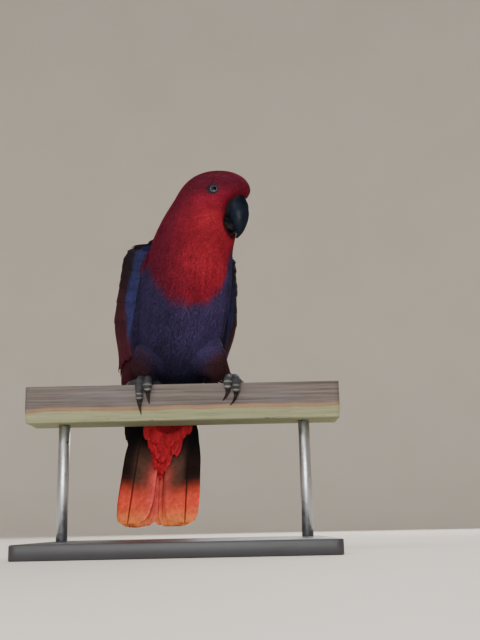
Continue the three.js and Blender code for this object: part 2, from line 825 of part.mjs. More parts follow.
// The rail's section, across its depth and height, drawn out along its length
function railSolid() {
  const back = RAIL.depth / 2;
  const low = RAIL.top - RAIL.height;
  const outline = new THREE.Shape([
    new THREE.Vector2(-back, RAIL.top),
    new THREE.Vector2(-back, RAIL.top - RAIL.upright),
    new THREE.Vector2(RAIL.slope - back, low),
    new THREE.Vector2(back, low),
    new THREE.Vector2(back, RAIL.top),
  ]);
  const board = new THREE.ExtrudeGeometry(outline, { depth: RAIL.length, bevelEnabled: false });
  const lengthways = new THREE.Matrix4().makeBasis(
    new THREE.Vector3(0, 1, 0),
    new THREE.Vector3(0, 0, 1),
    new THREE.Vector3(1, 0, 0),
  );
  board.applyMatrix4(lengthways);
  board.translate(-RAIL.length / 2, 0, 0);
  return toSolid(board);
}

function addStand() {
  add('perch_rail', railSolid(), WOOD);
  add('stand_base', block(BASE.width, BASE.depth, BASE.height, new THREE.Vector3(0, 0, BASE.height / 2)),
    STAND_PLASTIC);
  const low = BASE.height + JOIN_GAP;
  const high = RAIL.top - RAIL.height - JOIN_GAP;
  SIDES.forEach(([name, side]) => {
    const post = new THREE.CylinderGeometry(ROD.radius, ROD.radius, high - low, ROD.sides);
    post.rotateX(Math.PI / 2);
    post.translate(side * ROD.spacing / 2, 0, (low + high) / 2);
    add(`stand_rod_${name}`, toSolid(post), STEEL);
  });
}

const railRoom = block(RAIL.length, RAIL.depth + 2 * CLEAR, RAIL.height + 2 * CLEAR,
  new THREE.Vector3(0, 0, railMiddle));
const [tailRoot, torso, neck, skull] = partedBody();
addHead(skull);
add('neck', neck, RED);
const feetRoom = SIDES.map(([name, side]) => footRoom(name, side));
add('torso', clearOf(torso, [railRoom, ...feetRoom]), VIOLET);
add('tail', clearOf(join([tailRoot, ...tailFeathers(), ...tailCoverts()]), [railRoom]), TAIL_ORANGE);
SIDES.forEach(([name, side]) => {
  const taken = [fleshGrown, thigh(FEET[name], side, CLEAR), railRoom];
  add(`wing_${name}`, clearOf(wing(side), taken), MAROON);
  addLeg(name, side);
});
add('leg_ring', legRing(0), STEEL);
addStand();

export default bird;
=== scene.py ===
# Looks of the eclectus parrot on its rail and stand.
# Measures are in millimetres in the model's frame until a mesh is made.

import math

import bpy
import numpy as np
from mathutils import Matrix, Vector
from mathutils.bvhtree import BVHTree


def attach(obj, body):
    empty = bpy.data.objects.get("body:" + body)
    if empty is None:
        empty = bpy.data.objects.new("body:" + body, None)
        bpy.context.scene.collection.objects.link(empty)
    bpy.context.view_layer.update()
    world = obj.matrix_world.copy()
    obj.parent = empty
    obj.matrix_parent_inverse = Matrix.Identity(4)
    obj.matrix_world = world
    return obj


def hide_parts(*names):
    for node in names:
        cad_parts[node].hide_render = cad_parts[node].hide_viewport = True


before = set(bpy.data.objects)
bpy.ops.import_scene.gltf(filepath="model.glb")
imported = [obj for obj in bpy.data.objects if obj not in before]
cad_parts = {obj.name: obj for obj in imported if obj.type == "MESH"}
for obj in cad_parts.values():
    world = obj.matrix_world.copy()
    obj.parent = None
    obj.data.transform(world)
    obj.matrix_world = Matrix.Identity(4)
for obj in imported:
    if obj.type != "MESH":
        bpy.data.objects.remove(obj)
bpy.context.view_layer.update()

MM = 0.001
rng = np.random.default_rng(20)

# Sizes shared with the solids
RAIL = {"length": 270, "depth": 46, "height": 31, "top": 142.6, "upright": 21.5, "slope": 5}
BASE = {"width": 250, "depth": 200, "height": 12}
ROD = {"radius": 5, "spacing": 210}
JOIN_GAP = 0.3
BODY_YAW = math.radians(22)
BODY_LEAN = math.radians(25)
BODY_PLACE = (-1.5, -3, RAIL["top"])
SHOULDER = {"back": -27, "up": 115}
HEAD_YAW = math.radians(43)
HEAD_CENTRE = {"side": 18.5, "back": -45, "up": 164}
BLEND = 6
TAIL_CUT = 150
TAIL_TIP = 262
SIDES = {"right": -1, "left": 1}


# Small sums

def mix(a, b, share):
    return a + (b - a) * share


def smooth(share):
    t = np.clip(share, 0, 1)
    return t * t * (3 - 2 * t)


def rise(value, low, high):
    """0 below low, 1 above high, eased between them."""
    return smooth((value - low) / (high - low))


def graph(pairs, place):
    """A value read off a short list of (place, value) pairs, eased between them."""
    places = np.array([pair[0] for pair in pairs], float)
    values = np.array([pair[1] for pair in pairs], float)
    spot = np.clip(place, places[0], places[-1])
    at = np.clip(np.searchsorted(places, spot, side="right") - 1, 0, len(places) - 2)
    share = smooth((spot - places[at]) / (places[at + 1] - places[at]))
    return values[at] + (values[at + 1] - values[at]) * share


def unit(vectors):
    length = np.linalg.norm(vectors, axis=-1, keepdims=True)
    return vectors / np.maximum(length, 1e-9)


def dot(a, b):
    return np.sum(a * b, axis=-1, keepdims=True)


def linear(colour):
    """A named colour as it is read off a screen, turned into light for the shader."""
    shares = np.array([int(colour[i:i + 2], 16) / 255 for i in (0, 2, 4)])
    return np.where(shares < 0.04045, shares / 12.92, ((shares + 0.055) / 1.055) ** 2.4)


# Frames of the bird: its body, its leaning trunk and its turned head

class Frame:
    """at() gives a point from three measures, and of() the measures of a point."""

    def __init__(self, origin, axes):
        self.origin = np.array(origin, float)
        self.axes = np.array(axes, float)

    def at(self, *measures):
        return self.origin + np.stack(np.broadcast_arrays(*measures), -1) @ self.axes

    def of(self, points):
        return np.moveaxis((points - self.origin) @ self.axes.T, -1, 0)


def turned(angle):
    return math.cos(angle), math.sin(angle)


yaw_cos, yaw_sin = turned(BODY_YAW)
lean_cos, lean_sin = turned(BODY_LEAN)
head_cos, head_sin = turned(HEAD_YAW)
BIRD = Frame(BODY_PLACE, [[yaw_cos, yaw_sin, 0], [-yaw_sin, yaw_cos, 0], [0, 0, 1]])
# Side, dorsal height and distance down the body
BODY = Frame(
    BIRD.at(0, SHOULDER["back"], SHOULDER["up"]),
    np.array([[1, 0, 0], [0, lean_cos, lean_sin], [0, lean_sin, -lean_cos]]) @ BIRD.axes,
)
# Forward along the face, side to its left, and up
HEAD = Frame(
    BIRD.at(HEAD_CENTRE["side"], HEAD_CENTRE["back"], HEAD_CENTRE["up"]),
    np.array([[head_sin, -head_cos, 0], [head_cos, head_sin, 0], [0, 0, 1]]) @ BIRD.axes,
)

# The soft body: rounded masses that run into one another

MASSES = [
    (BODY, (0, -2, 34), (39.5, 35, 56)),
    (BODY, (0, -1, 76), (37, 31, 50)),
    (BODY, (0, 5, 122), (22, 17, 40)),
    (BODY, (0, 7.5, 152), (18, 7, 24)),
    (BODY, (0, 2, 2), (32, 29, 30)),
    (BIRD, (3, -31, 132), (29, 28, 30)),
    (BIRD, (9, -38, 148), (22, 23, 24)),
    (HEAD, (0.5, 0, 0.5), (32, 17.5, 22.5)),
    (HEAD, (-10.5, 0, -1), (17.5, 16, 17.5)),
    (HEAD, (-1, 0, -22), (15, 16, 17)),
]
BILL_HOLLOW = (HEAD, (30, 0, -22), (18.4, 32, 19.4))
HOLLOW_EDGE = 2.5


def mass_distance(points, place, centre, sizes):
    shares = [(m - c) / s for m, c, s in zip(place.of(points), centre, sizes)]
    reach = np.sqrt(sum(share ** 2 for share in shares))
    slope = np.sqrt(sum((share / size) ** 2 for share, size in zip(shares, sizes)))
    return reach * (reach - 1) / np.maximum(slope, 1e-9)


def body_distance(points):
    total = sum(np.exp(-mass_distance(points, *one) / BLEND) for one in MASSES)
    whole = -BLEND * np.log(np.maximum(total, 1e-30))
    cut = -mass_distance(points, *BILL_HOLLOW)
    return HOLLOW_EDGE * np.log(np.exp(whole / HOLLOW_EDGE) + np.exp(cut / HOLLOW_EDGE))


def normal_of(distance, points, step=0.2):
    """The direction in which a distance grows fastest."""
    slopes = [
        distance(points + step * axis) - distance(points - step * axis) for axis in np.eye(3)
    ]
    return unit(np.stack(slopes, -1))


def body_normal(points):
    return normal_of(body_distance, points)


def onto_body(points, level):
    """Points near the body moved along its normal to a level over its surface."""
    return points - body_normal(points) * (body_distance(points) - level)[..., None]


def reach_from(centres, directions, level):
    """How far the body reaches from each centre in each direction, grown by a level."""
    near = np.zeros(len(centres))
    found = np.zeros(len(centres), bool)
    for step in range(1, 80):
        outside = body_distance(centres + directions * step) > level
        near = np.where(found, near, np.where(outside, near, step))
        found |= outside
    far = near + 1
    for _ in range(12):
        middle = (near + far) / 2
        outside = body_distance(centres + directions * middle[:, None]) > level
        far = np.where(outside, middle, far)
        near = np.where(outside, near, middle)
    return near


# Meshes

def mesh_from(name, points, faces, material, uv=None, colours=None, attribute="plumage"):
    """A smooth piece of the bird, from millimetres. uv is for each vertex or face corner."""
    piece = plain_mesh(name, points, faces, material, uv, colours, attribute)
    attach(piece, "root")
    return piece


def plain_mesh(name, points, faces, material, uv=None, colours=None, attribute="plumage"):
    mesh = bpy.data.meshes.new(name)
    count, sides = faces.shape
    mesh.vertices.add(len(points))
    mesh.vertices.foreach_set("co", (np.asarray(points) * MM).astype(np.float32).ravel())
    mesh.loops.add(count * sides)
    mesh.loops.foreach_set("vertex_index", faces.astype(np.int32).ravel())
    mesh.polygons.add(count)
    mesh.polygons.foreach_set("loop_start", np.arange(count, dtype=np.int32) * sides)
    mesh.polygons.foreach_set("use_smooth", np.ones(count, bool))
    if uv is not None:
        layer = mesh.uv_layers.new(name="OFBake")
        corners = uv if np.ndim(uv) == 3 else np.asarray(uv)[faces]
        layer.data.foreach_set("uv", corners.astype(np.float32).ravel())
    if colours is not None:
        layer = mesh.color_attributes.new(attribute, "FLOAT_COLOR", "POINT")
        full = np.concatenate([colours, np.ones((len(colours), 1))], axis=1)
        layer.data.foreach_set("color", full.astype(np.float32).ravel())
    mesh.update(calc_edges=True)
    mesh.validate()
    piece = bpy.data.objects.new(name, mesh)
    bpy.context.collection.objects.link(piece)
    mesh.materials.append(material)
    return piece


def grid_faces(rows, columns, closed=False):
    """Quads over a grid of points, joined round when closed."""
    r = np.arange(rows - 1)[:, None]
    c = np.arange(columns if closed else columns - 1)[None, :]
    after = (c + 1) % columns
    here = r * columns
    below = (r + 1) * columns
    quads = [here + c, here + after, below + after, below + c]
    return np.stack(np.broadcast_arrays(*quads), -1).reshape(-1, 4)


def outward(points, faces):
    """Faces turned so that they look out of the solid."""
    corners = points[faces]
    volume = dot(corners[:, 0], np.cross(corners[:, 1], corners[:, 2])).sum()
    if faces.shape[1] == 4:
        volume += dot(corners[:, 0], np.cross(corners[:, 2], corners[:, 3])).sum()
    return faces if volume > 0 else faces[:, ::-1]


END_RING = 1e-3


def skinned(rings):
    """Points and quads of closed rings joined one to the next."""
    rings = np.asarray(rings, float)
    points = rings.reshape(-1, 3)
    return points, outward(points, grid_faces(*rings.shape[:2], closed=True))


def loft(rings):
    """Points and quads of a solid from rings, closed in by small end rings."""
    rings = np.asarray(rings, float)
    first, last = (
        mix(end.mean(axis=1, keepdims=True), end, END_RING) for end in (rings[:1], rings[-1:])
    )
    return skinned(np.concatenate([first, rings, last]))


def circle(sides):
    turns = np.linspace(0, 2 * math.pi, sides, endpoint=False)
    return np.cos(turns), np.sin(turns)


def bar(line, radii, sides):
    """Rings of a round bar along a line, with the direction across it carried along."""
    line = np.asarray(line, float)
    along = unit(np.gradient(line, axis=0))
    across = np.cross((0, 0, 1), along[0])
    if np.linalg.norm(across) < 0.1:
        across = np.array([1.0, 0, 0])
    x, y = circle(sides)
    rings = []
    for point, forward, radius in zip(line, along, radii):
        across = unit(across - forward * np.dot(across, forward))
        other = np.cross(forward, across)
        rings.append(point + radius * (x[:, None] * across + y[:, None] * other))
    return np.array(rings)


def finer(line, count):
    """A smooth line of more points through the given ones."""
    line = np.asarray(line, float)
    padded = np.concatenate([2 * line[:1] - line[1:2], line, 2 * line[-1:] - line[-2:-1]])
    places = np.linspace(0, len(line) - 1, count)
    at = np.minimum(places.astype(int), len(line) - 2)
    t = (places - at).reshape((-1,) + (1,) * (line.ndim - 1))
    a, b, c, d = (padded[at + i] for i in range(4))
    curve = 2 * b + (c - a) * t + (2 * a - 5 * b + 4 * c - d) * t ** 2
    return (curve + (3 * b - a - 3 * c + d) * t ** 3) / 2


def gathered(parts):
    """Several sets of points and quads as one."""
    points = []
    faces = []
    start = 0
    for part_points, part_faces in parts:
        points.append(part_points)
        faces.append(part_faces + start)
        start += len(part_points)
    return np.concatenate(points), np.concatenate(faces)


# Shader maths: sockets that add, subtract and multiply as numbers do

class Value:
    def __init__(self, paint, socket):
        self.paint = paint
        self.socket = socket

    def maths(self, operation, first, second):
        return self.paint.node("ShaderNodeMath", {"operation": operation}, {0: first, 1: second})

    def __add__(self, other):
        return self.maths("ADD", self, other)

    def __radd__(self, other):
        return self.maths("ADD", other, self)

    def __sub__(self, other):
        return self.maths("SUBTRACT", self, other)

    def __rsub__(self, other):
        return self.maths("SUBTRACT", other, self)

    def __mul__(self, other):
        return self.maths("MULTIPLY", self, other)

    def __rmul__(self, other):
        return self.maths("MULTIPLY", other, self)

    def __abs__(self):
        return self.maths("ABSOLUTE", self, 0)


SOCKETS = {
    "roughness": "Roughness",
    "metallic": "Metallic",
    "specular": "Specular IOR Level",
    "sheen": "Sheen Weight",
    "sheen_roughness": "Sheen Roughness",
    "coat": "Coat Weight",
    "coat_roughness": "Coat Roughness",
}


class Paint:
    """A material and the nodes in it. Plain numbers set the shader's own sockets."""

    def __init__(self, name, **plain):
        self.material = bpy.data.materials.new(name)
        self.material.use_nodes = True
        self.tree = self.material.node_tree
        self.shader = self.tree.nodes["Principled BSDF"]
        for socket, value in plain.items():
            self.shader.inputs[SOCKETS[socket]].default_value = value

    def node(self, kind, settings=None, sockets=None, output=0):
        made = self.tree.nodes.new(kind)
        for setting, value in (settings or {}).items():
            if setting == "stops":
                self.set_stops(made.color_ramp, value)
            else:
                setattr(made, setting, value)
        for socket, value in (sockets or {}).items():
            self.feed(made.inputs[socket], value)
        return Value(self, made.outputs[output])

    def set_stops(self, ramp, stops):
        while len(ramp.elements) < len(stops):
            ramp.elements.new(1)
        for element, (place, shade) in zip(ramp.elements, stops):
            element.position = place
            element.color = (*shade, 1)

    def feed(self, socket, value):
        if isinstance(value, Value):
            self.tree.links.new(value.socket, socket)
        else:
            socket.default_value = value

    def put(self, socket, value):
        self.feed(self.shader.inputs[socket], value)

    def place(self):
        return self.node("ShaderNodeNewGeometry")

    def uv(self, name):
        return self.node("ShaderNodeUVMap", {"uv_map": name})

    def attribute(self, name):
        return self.node("ShaderNodeAttribute", {"attribute_name": name})

    def stretched(self, vector, scale):
        return self.node("ShaderNodeMapping", None, {"Vector": vector, "Scale": scale})

    def noise(self, vector, scale, detail=3, rough=0.55):
        sockets = {"Vector": vector, "Scale": scale, "Detail": detail, "Roughness": rough}
        return self.node("ShaderNodeTexNoise", None, sockets)

    def cells(self, vector, scale, feature="F1"):
        sockets = {"Vector": vector, "Scale": scale}
        return self.node("ShaderNodeTexVoronoi", {"feature": feature}, sockets)

    def waves(self, vector, scale, distortion, detail):
        sockets = {"Vector": vector, "Scale": scale, "Distortion": distortion, "Detail": detail}
        return self.node("ShaderNodeTexWave", {"bands_direction": "X"}, sockets, output=1)

    def ramp(self, value, *stops):
        return self.node("ShaderNodeValToRGB", {"stops": stops}, {"Fac": value})

    def spread(self, value, low, high, to_low=0.0, to_high=1.0):
        ends = {"From Min": low, "From Max": high, "To Min": to_low, "To Max": to_high}
        settings = {"interpolation_type": "SMOOTHSTEP"}
        return self.node("ShaderNodeMapRange", settings, {"Value": value, **ends})

    def axis(self, vector, letter):
        number = "XYZ".index(letter)
        return self.node("ShaderNodeSeparateXYZ", None, {"Vector": vector}, output=number)

    def blend(self, first, second, share, kind="MIX"):
        settings = {"data_type": "RGBA", "blend_type": kind}
        return self.node("ShaderNodeMix", settings, {0: share, 6: first, 7: second}, output=2)

    def shaded(self, colour, shade):
        """A colour made darker or lighter by a value."""
        tint = self.node("ShaderNodeCombineColor", None, {0: shade, 1: shade, 2: shade})
        return self.blend(colour, tint, 1.0, "MULTIPLY")

    def bump(self, height, strength, distance):
        sockets = {"Height": height, "Strength": strength, "Distance": distance}
        return self.node("ShaderNodeBump", None, sockets)


def rgba(colour):
    return (*linear(colour), 1)


# Skin: one smooth surface from the tail's root to the crown

SPINE = np.array([
    BODY.at(0, 9, 177),
    BODY.at(0, 8, 150),
    BODY.at(0, 4, 120),
    BODY.at(0, 0, 80),
    BODY.at(0, 0, 40),
    BODY.at(0, 0, 5),
    BIRD.at(3, -30, 130),
    BIRD.at(8, -36, 147),
    BIRD.at(13, -41, 163),
    BIRD.at(17, -44.5, 178),
    BIRD.at(18, -45.5, 187),
])
SKIN = {"rings": 210, "sides": 120}
HEAD_COAT = 0.7
BODY_COAT = 1.7
NECK_HEIGHTS = (95, 145)


def along_spine(shares):
    crown = SPINE[-1:]
    top = reach_from(crown, np.array([[0, 0, 1.0]]), -HEAD_COAT)[0]
    line = np.concatenate([finer(SPINE, 160), crown + (0, 0, top - 0.02)])
    places = np.concatenate([[0], np.cumsum(np.linalg.norm(np.diff(line, axis=0), axis=1))])
    spots = shares * places[-1]
    return np.stack([np.interp(spots, places, line[:, i]) for i in range(3)], -1)


def head_share(points):
    """0 on the body, 1 on the head, eased over the neck."""
    return rise(points[:, 2] - RAIL["top"], *NECK_HEIGHTS)


def skin_grid():
    t = np.linspace(0, 1, SKIN["rings"])
    shares = mix(t, np.sin(t * math.pi / 2), 0.7)
    shares[-1] = 1
    centres = along_spine(shares)
    upright = head_share(centres)[:, None]
    dorsal = unit(mix(BODY.axes[1], BIRD.axes[1], upright))
    x, y = circle(SKIN["sides"])
    directions = x[None, :, None] * BIRD.axes[0] + y[None, :, None] * dorsal[:, None, :]
    level = -mix(BODY_COAT, HEAD_COAT, upright) * np.ones((1, SKIN["sides"]))
    starts = np.repeat(centres[:, None, :], SKIN["sides"], axis=1).reshape(-1, 3)
    ways = directions.reshape(-1, 3)
    reach = reach_from(starts, ways, level.ravel()).reshape(len(t), SKIN["sides"])
    reach[[0, -1]] *= 0.01
    return (starts + ways * reach.reshape(-1, 1)).reshape(len(t), SKIN["sides"], 3)


def grid_uv(rows, columns):
    """Places on the unwrap for the corners of a closed grid's faces, none across its edge."""
    r = np.arange(rows - 1)[:, None]
    c = np.arange(columns)[None, :]
    corners = [(c, r), (c + 1, r), (c + 1, r + 1), (c, r + 1)]
    places = [
        np.stack(np.broadcast_arrays(column / columns, row / (rows - 1)), -1).reshape(-1, 2)
        for column, row in corners
    ]
    return np.stack(places, 1)


skin = skin_grid()

# Plumage: where each colour lies on the body

WINE = linear("581427")
CRIMSON = linear("7c192d")
SCARLET = linear("9e2733")
VENT_RED = linear("a5202c")
VIOLET = linear("3e345a")
INDIGO = linear("17142a")
BLUE = linear("21234a")
MAROON = linear("401721")
BACK_RED = linear("5e1a28")
UMBER = linear("3c2226")
SOOT = linear("0b080d")

# The red bib's lower edge: turn round the body from its left side, and distance down it
BIB_EDGE = (
    (-180, 15), (-170, 20), (-150, 29), (-138, 35), (-127, 41), (-103, 41), (-88, 39), (-76, 36.5),
    (-68, 31), (-56, 26), (-49, 18), (-38, 0), (-28, -8), (0, -14), (90, -10), (150, 0), (180, 18),
)
BIB_STRAY = 3.5
BREAST = {"turn": -78, "spread": 52}
# Where each colour comes in: how low or how far ahead on the head, how far round or down the body
BELOW_CROWN = (-9, 10)
AHEAD_OF_NAPE = (-32, 4)
LOW_FACE = (6, 26)
THROAT = (-50, -20)
BREAST_FADE = (2, 34)
BREAST_SIDES = (34, 75)
SHOULDER_DOWN = (-25, 0)
SHADED_LOW_BELLY = (62, 112)
BELLY_MIDDLE = -74
SHADED_BELLY_SIDES = (25, 60)
BACK_TURN = (20, 60)
BLUE_MANTLE_END = (10, 24)
RED_BACK = (12, 26)
VENT = (134, 148)
BIB_SOFT_SIDE = (85, 125)


def filled(colour, like):
    """One colour for each place in a grid of values."""
    return np.broadcast_to(colour, (*np.shape(like), 3))


def toward(colours, other, share):
    return colours + (other - colours) * np.asarray(share)[..., None]


# Streaks of lighter and darker feathers: degrees across, and millimetres long. On the head they
# turn about a line under the eyes, and the neck is so far from the bill.
STREAK = {"across": 2.4, "long": 24, "under": 15, "neck": (40, 62)}
streak_tones = rng.uniform(-1, 1, (150, 40))


def between_tones(tones, across, along):
    """A grid of tones read between its rows and columns. The grid repeats."""
    column = np.floor(across).astype(int)
    row = np.floor(along).astype(int)
    wide, high = tones.shape
    left = column % wide
    right = (column + 1) % wide
    near, far = (
        mix(tones[left, line % high], tones[right, line % high], smooth(across - column))
        for line in (row, row + 1)
    )
    return mix(near, far, smooth(along - row))


def streaks(points):
    """From -1 to 1: streaks that run back from the bill over the head, then down the body."""
    _, _, down = BODY.of(points)
    _, side, up = HEAD.of(points)
    back = from_face(points)
    wide, long = STREAK["across"], STREAK["long"]
    head_turn = np.degrees(np.arctan2(side, up + STREAK["under"]))
    on_head = between_tones(streak_tones, head_turn / wide, back / long)
    on_body = between_tones(streak_tones, body_turn(points) / wide, down / long)
    return mix(on_head, on_body, rise(back, *STREAK["neck"]))


def body_turn(points):
    side, dorsal, _ = BODY.of(points)
    return np.degrees(np.arctan2(dorsal, side))


def plumage(points, stray):
    """Colours at points on the body. stray, from -1 to 1 at each, ruffles the borders."""
    _, _, down = BODY.of(points)
    forward, _, up = HEAD.of(points)
    turn = body_turn(points)
    aside = np.abs(turn - BREAST["turn"])
    front = np.exp(-(aside / BREAST["spread"]) ** 2)
    face = rise(-up, *BELOW_CROWN) * rise(forward, *AHEAD_OF_NAPE)
    red = toward(filled(WINE, turn), CRIMSON, face)
    red = toward(red, CRIMSON, 0.75 * front * rise(down, *THROAT))
    bright = front * rise(-up, *LOW_FACE) * (1 - 0.6 * rise(down, *BREAST_FADE))
    red = toward(red, SCARLET, 0.85 * bright)
    red = toward(red, WINE, 0.65 * rise(aside, *BREAST_SIDES) * rise(down, *SHOULDER_DOWN))
    # The lower belly and the belly's sides darken to indigo: painted shade
    below = toward(filled(VIOLET, turn), INDIGO, rise(down, *SHADED_LOW_BELLY))
    below = toward(below, INDIGO, 0.5 * rise(np.abs(turn - BELLY_MIDDLE), *SHADED_BELLY_SIDES))
    back = rise(turn, *BACK_TURN) * rise(180 - turn, *BACK_TURN)
    below = toward(below, BLUE, 0.55 * back * (1 - rise(down, *BLUE_MANTLE_END)))
    below = toward(below, MAROON, back * rise(down, *RED_BACK))
    below = toward(below, VENT_RED, (1 - back) * rise(down, *VENT))
    edge = graph(BIB_EDGE, turn) + BIB_STRAY * stray
    soft = mix(4.5, 10, rise(-turn, *BIB_SOFT_SIDE))
    return toward(red, below, rise(down - edge, -soft, 3.5))


EYE_SHADE = {"colour": linear("2b2330"), "reach": (4.6, 6.2)}
# The painted shadow of the lower bill: the distances over which it fades, and how near the face a
# point must be to get it
CHIN_PAINTED_SHADOW = {"reach": (1.2, 4.2), "near": 40, "beyond": 9.0}


def face_marks(points, colours):
    """Grey feathers in a ring round each eye, and the lower bill's shadow painted beside it."""
    round_eye = 1 - rise(from_eyes(points), *EYE_SHADE["reach"])
    ringed = toward(colours, EYE_SHADE["colour"], 0.8 * round_eye)
    # Feathers near the lower bill are darkened towards soot: a painted shadow of the bill
    near = np.flatnonzero(from_face(points) < CHIN_PAINTED_SHADOW["near"])
    gaps = np.full(len(points), CHIN_PAINTED_SHADOW["beyond"])
    gaps[near] = distance_to(points[near], lower_bill[2])
    return toward(ringed, SOOT * 0.6, 0.85 * (1 - rise(gaps, *CHIN_PAINTED_SHADOW["reach"])))


def feather_paint(name, sheen):
    """Soft feathers: the plumage colour, broken by fine dark and light strands."""
    paint = Paint(name, roughness=0.7, sheen=sheen, sheen_roughness=0.5, specular=0.06)
    place = paint.place()
    colour = paint.attribute("plumage")
    fine = paint.noise(place, 900, 2)
    broad = paint.noise(place, 70, 3)
    shade = paint.spread(fine, 0.3, 0.7, 0.72, 1.2) * paint.spread(broad, 0.3, 0.7, 0.86, 1.12)
    paint.put("Base Color", paint.shaded(colour, shade))
    paint.put("Roughness", paint.spread(fine, 0.3, 0.7, 0.6, 0.8))
    paint.put("Normal", paint.bump(fine, 0.25, 0.0004))
    return paint.material


# The skin under the tufts takes the plumage's colours painted darker: painted shade between the tufts
UNDER_SHADE = 0.72
soft_feathers = feather_paint("soft_feathers", 0.02)
skin_down = feather_paint("down_on_the_skin", 0.01)


def add_skin():
    points, faces = skinned(skin)
    uv = grid_uv(*skin.shape[:2])
    if faces[0, 0] != 0:
        uv = uv[:, ::-1]
    # The plumage's colours with painted shade, where the skin shows between the tufts
    colours = face_marks(points, plumage(points, np.zeros(len(points)))) * UNDER_SHADE
    piece = mesh_from("skin", points, faces, skin_down, uv, colours)
    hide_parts("head", "neck", "torso")


# Bill: sections from inside the face to the hooked tip, in the head's middle plane

UPPER_BILL = np.array([
    (20, 3, 6, -17, 7.6),
    (26.5, -3.5, 11.5, -24, 8.6),
    (30, -10, 14.5, -28, 8.4),
    (31, -17.5, 16.2, -30.8, 7.4),
    (30.4, -24.5, 17.4, -33.2, 6),
    (28, -31, 18.8, -35, 4),
    (24.6, -36.8, 18.6, -38.2, 2.3),
    (19.6, -41.2, 17.8, -40.6, 0.7),
])
LOWER_BILL = np.array([
    (3, -16, 1, -30.5, 9.2),
    (10.6, -18, 7.8, -32.4, 10.2),
    (15, -22.5, 12.2, -35, 9.3),
    (17.8, -27.5, 16.2, -35.8, 6.4),
    (19, -31, 18, -35, 3.2),
])
RIDGE_NARROWING = 0.18
CERE = {"proud": 0.35, "start": 0.45, "end": 0.94, "rings": 14}
NOSTRIL = {"turn": math.radians(62), "radius": 1.0, "place": 0.75}
EYE = {"forward": 7.6, "up": -0.5, "proud": 1.5, "radius": 5.2}


def bill_point(section, turn, grow=0.0):
    """A point round one section of the bill. turn is a quarter turn at the ridge."""
    section = np.moveaxis(np.asarray(section, float), -1, 0)
    ridge_forward, ridge_up, edge_forward, edge_up, half = section
    middle_forward = (ridge_forward + edge_forward) / 2
    middle_up = (ridge_up + edge_up) / 2
    high = np.hypot(ridge_forward - edge_forward, ridge_up - edge_up) / 2
    lift = np.sin(turn) * (high + grow) / high
    narrowing = 1 - RIDGE_NARROWING * np.maximum(0, np.sin(turn))
    return HEAD.at(
        middle_forward + (ridge_forward - middle_forward) * lift,
        np.cos(turn) * (half + grow) * narrowing,
        middle_up + (ridge_up - middle_up) * lift,
    )


def bill_solid(sections, count, sides):
    """A closed bill and the tree that tells how near a point is to it."""
    turns = np.linspace(0, 2 * math.pi, sides, endpoint=False)
    points, faces = loft(bill_point(finer(sections, count)[:, None, :], turns[None, :]))
    return points, faces, BVHTree.FromPolygons(points.tolist(), faces.tolist())


def distance_to(points, tree):
    """Distance from each point to a closed piece, below 0 inside it."""
    found = np.empty(len(points))
    for number, point in enumerate(points):
        place, normal, _, away = tree.find_nearest(point)
        inside = (Vector(point) - place).dot(normal) < 0
        found[number] = -away if inside else away
    return found


upper_bill = bill_solid(UPPER_BILL, 46, 40)
lower_bill = bill_solid(LOWER_BILL, 30, 36)


def face_at_eye():
    middle = HEAD.at(EYE["forward"], 0, EYE["up"])[None]
    return reach_from(middle, HEAD.axes[1][None], 0.0)[0]


EYE_SIDE = face_at_eye()


def eye_frame(side):
    """The eye's place on the face, and its directions out of the face, ahead and round."""
    root = HEAD.at(EYE["forward"], side * EYE_SIDE, EYE["up"])
    out = body_normal(root[None])[0]
    ahead = unit(HEAD.axes[0] - out * (HEAD.axes[0] @ out))
    return root, out, ahead, np.cross(out, ahead)


# Roots of the small feathers

def grid_roots(grid, density, closed=True):
    """Random roots over a grid, so many to the square millimetre, and their unwrap places."""
    after = np.roll(grid, -1, axis=1) if closed else grid[:, 1:]
    first = grid if closed else grid[:, :-1]
    corners = [first[:-1], after[:-1], after[1:], first[1:]]
    area = np.linalg.norm(np.cross(corners[1] - corners[0], corners[3] - corners[0]), axis=-1)
    centre = sum(corners) / 4
    wanted = area.ravel() * density(centre.reshape(-1, 3))
    count = np.floor(wanted + rng.random(len(wanted))).astype(int)
    cell = np.repeat(np.arange(len(count)), count)
    across = rng.random(len(cell))[:, None]
    along = rng.random(len(cell))[:, None]
    a, b, c, d = (corner.reshape(-1, 3)[cell] for corner in corners)
    points = mix(mix(a, b, across), mix(d, c, across), along)
    wide = first.shape[1]
    u = (cell % wide + across[:, 0]) / wide
    v = (cell // wide + along[:, 0]) / (len(grid) - 1)
    return points, np.stack([u, v], -1)


FACE_POINT = HEAD.at(33, 0, -15)
NECK_POINT = HEAD.at(-2, 0, -4)


def from_face(points):
    return np.linalg.norm(points - FACE_POINT, axis=-1)


def from_eyes(points):
    """Distance to the nearer eye."""
    places = [eye_frame(side)[0] for side in SIDES.values()]
    return np.minimum(*(np.linalg.norm(points - place, axis=-1) for place in places))


# Lengths and widths of the small feathers at distances from the bill
TUFT_LENGTHS = ((14, 1.5), (22, 2.0), (34, 3.2), (52, 5.2), (90, 7.6), (220, 8.5))
TUFT_BREADTHS = ((14, 0.42), (34, 0.56), (66, 0.74), (120, 0.92))
NEAR_EYE = {"length": 0.55, "reach": (4, 11)}


def tuft_length(points):
    near_eye = mix(NEAR_EYE["length"], 1, rise(from_eyes(points), *NEAR_EYE["reach"]))
    return graph(TUFT_LENGTHS, from_face(points)) * near_eye


def tuft_width(points):
    return graph(TUFT_BREADTHS, from_face(points))


UNDER_WING = {"middle": 18, "turns": (-20, 62), "downs": (8, 100)}


def between(value, ends):
    return (value > ends[0]) & (value < ends[1])


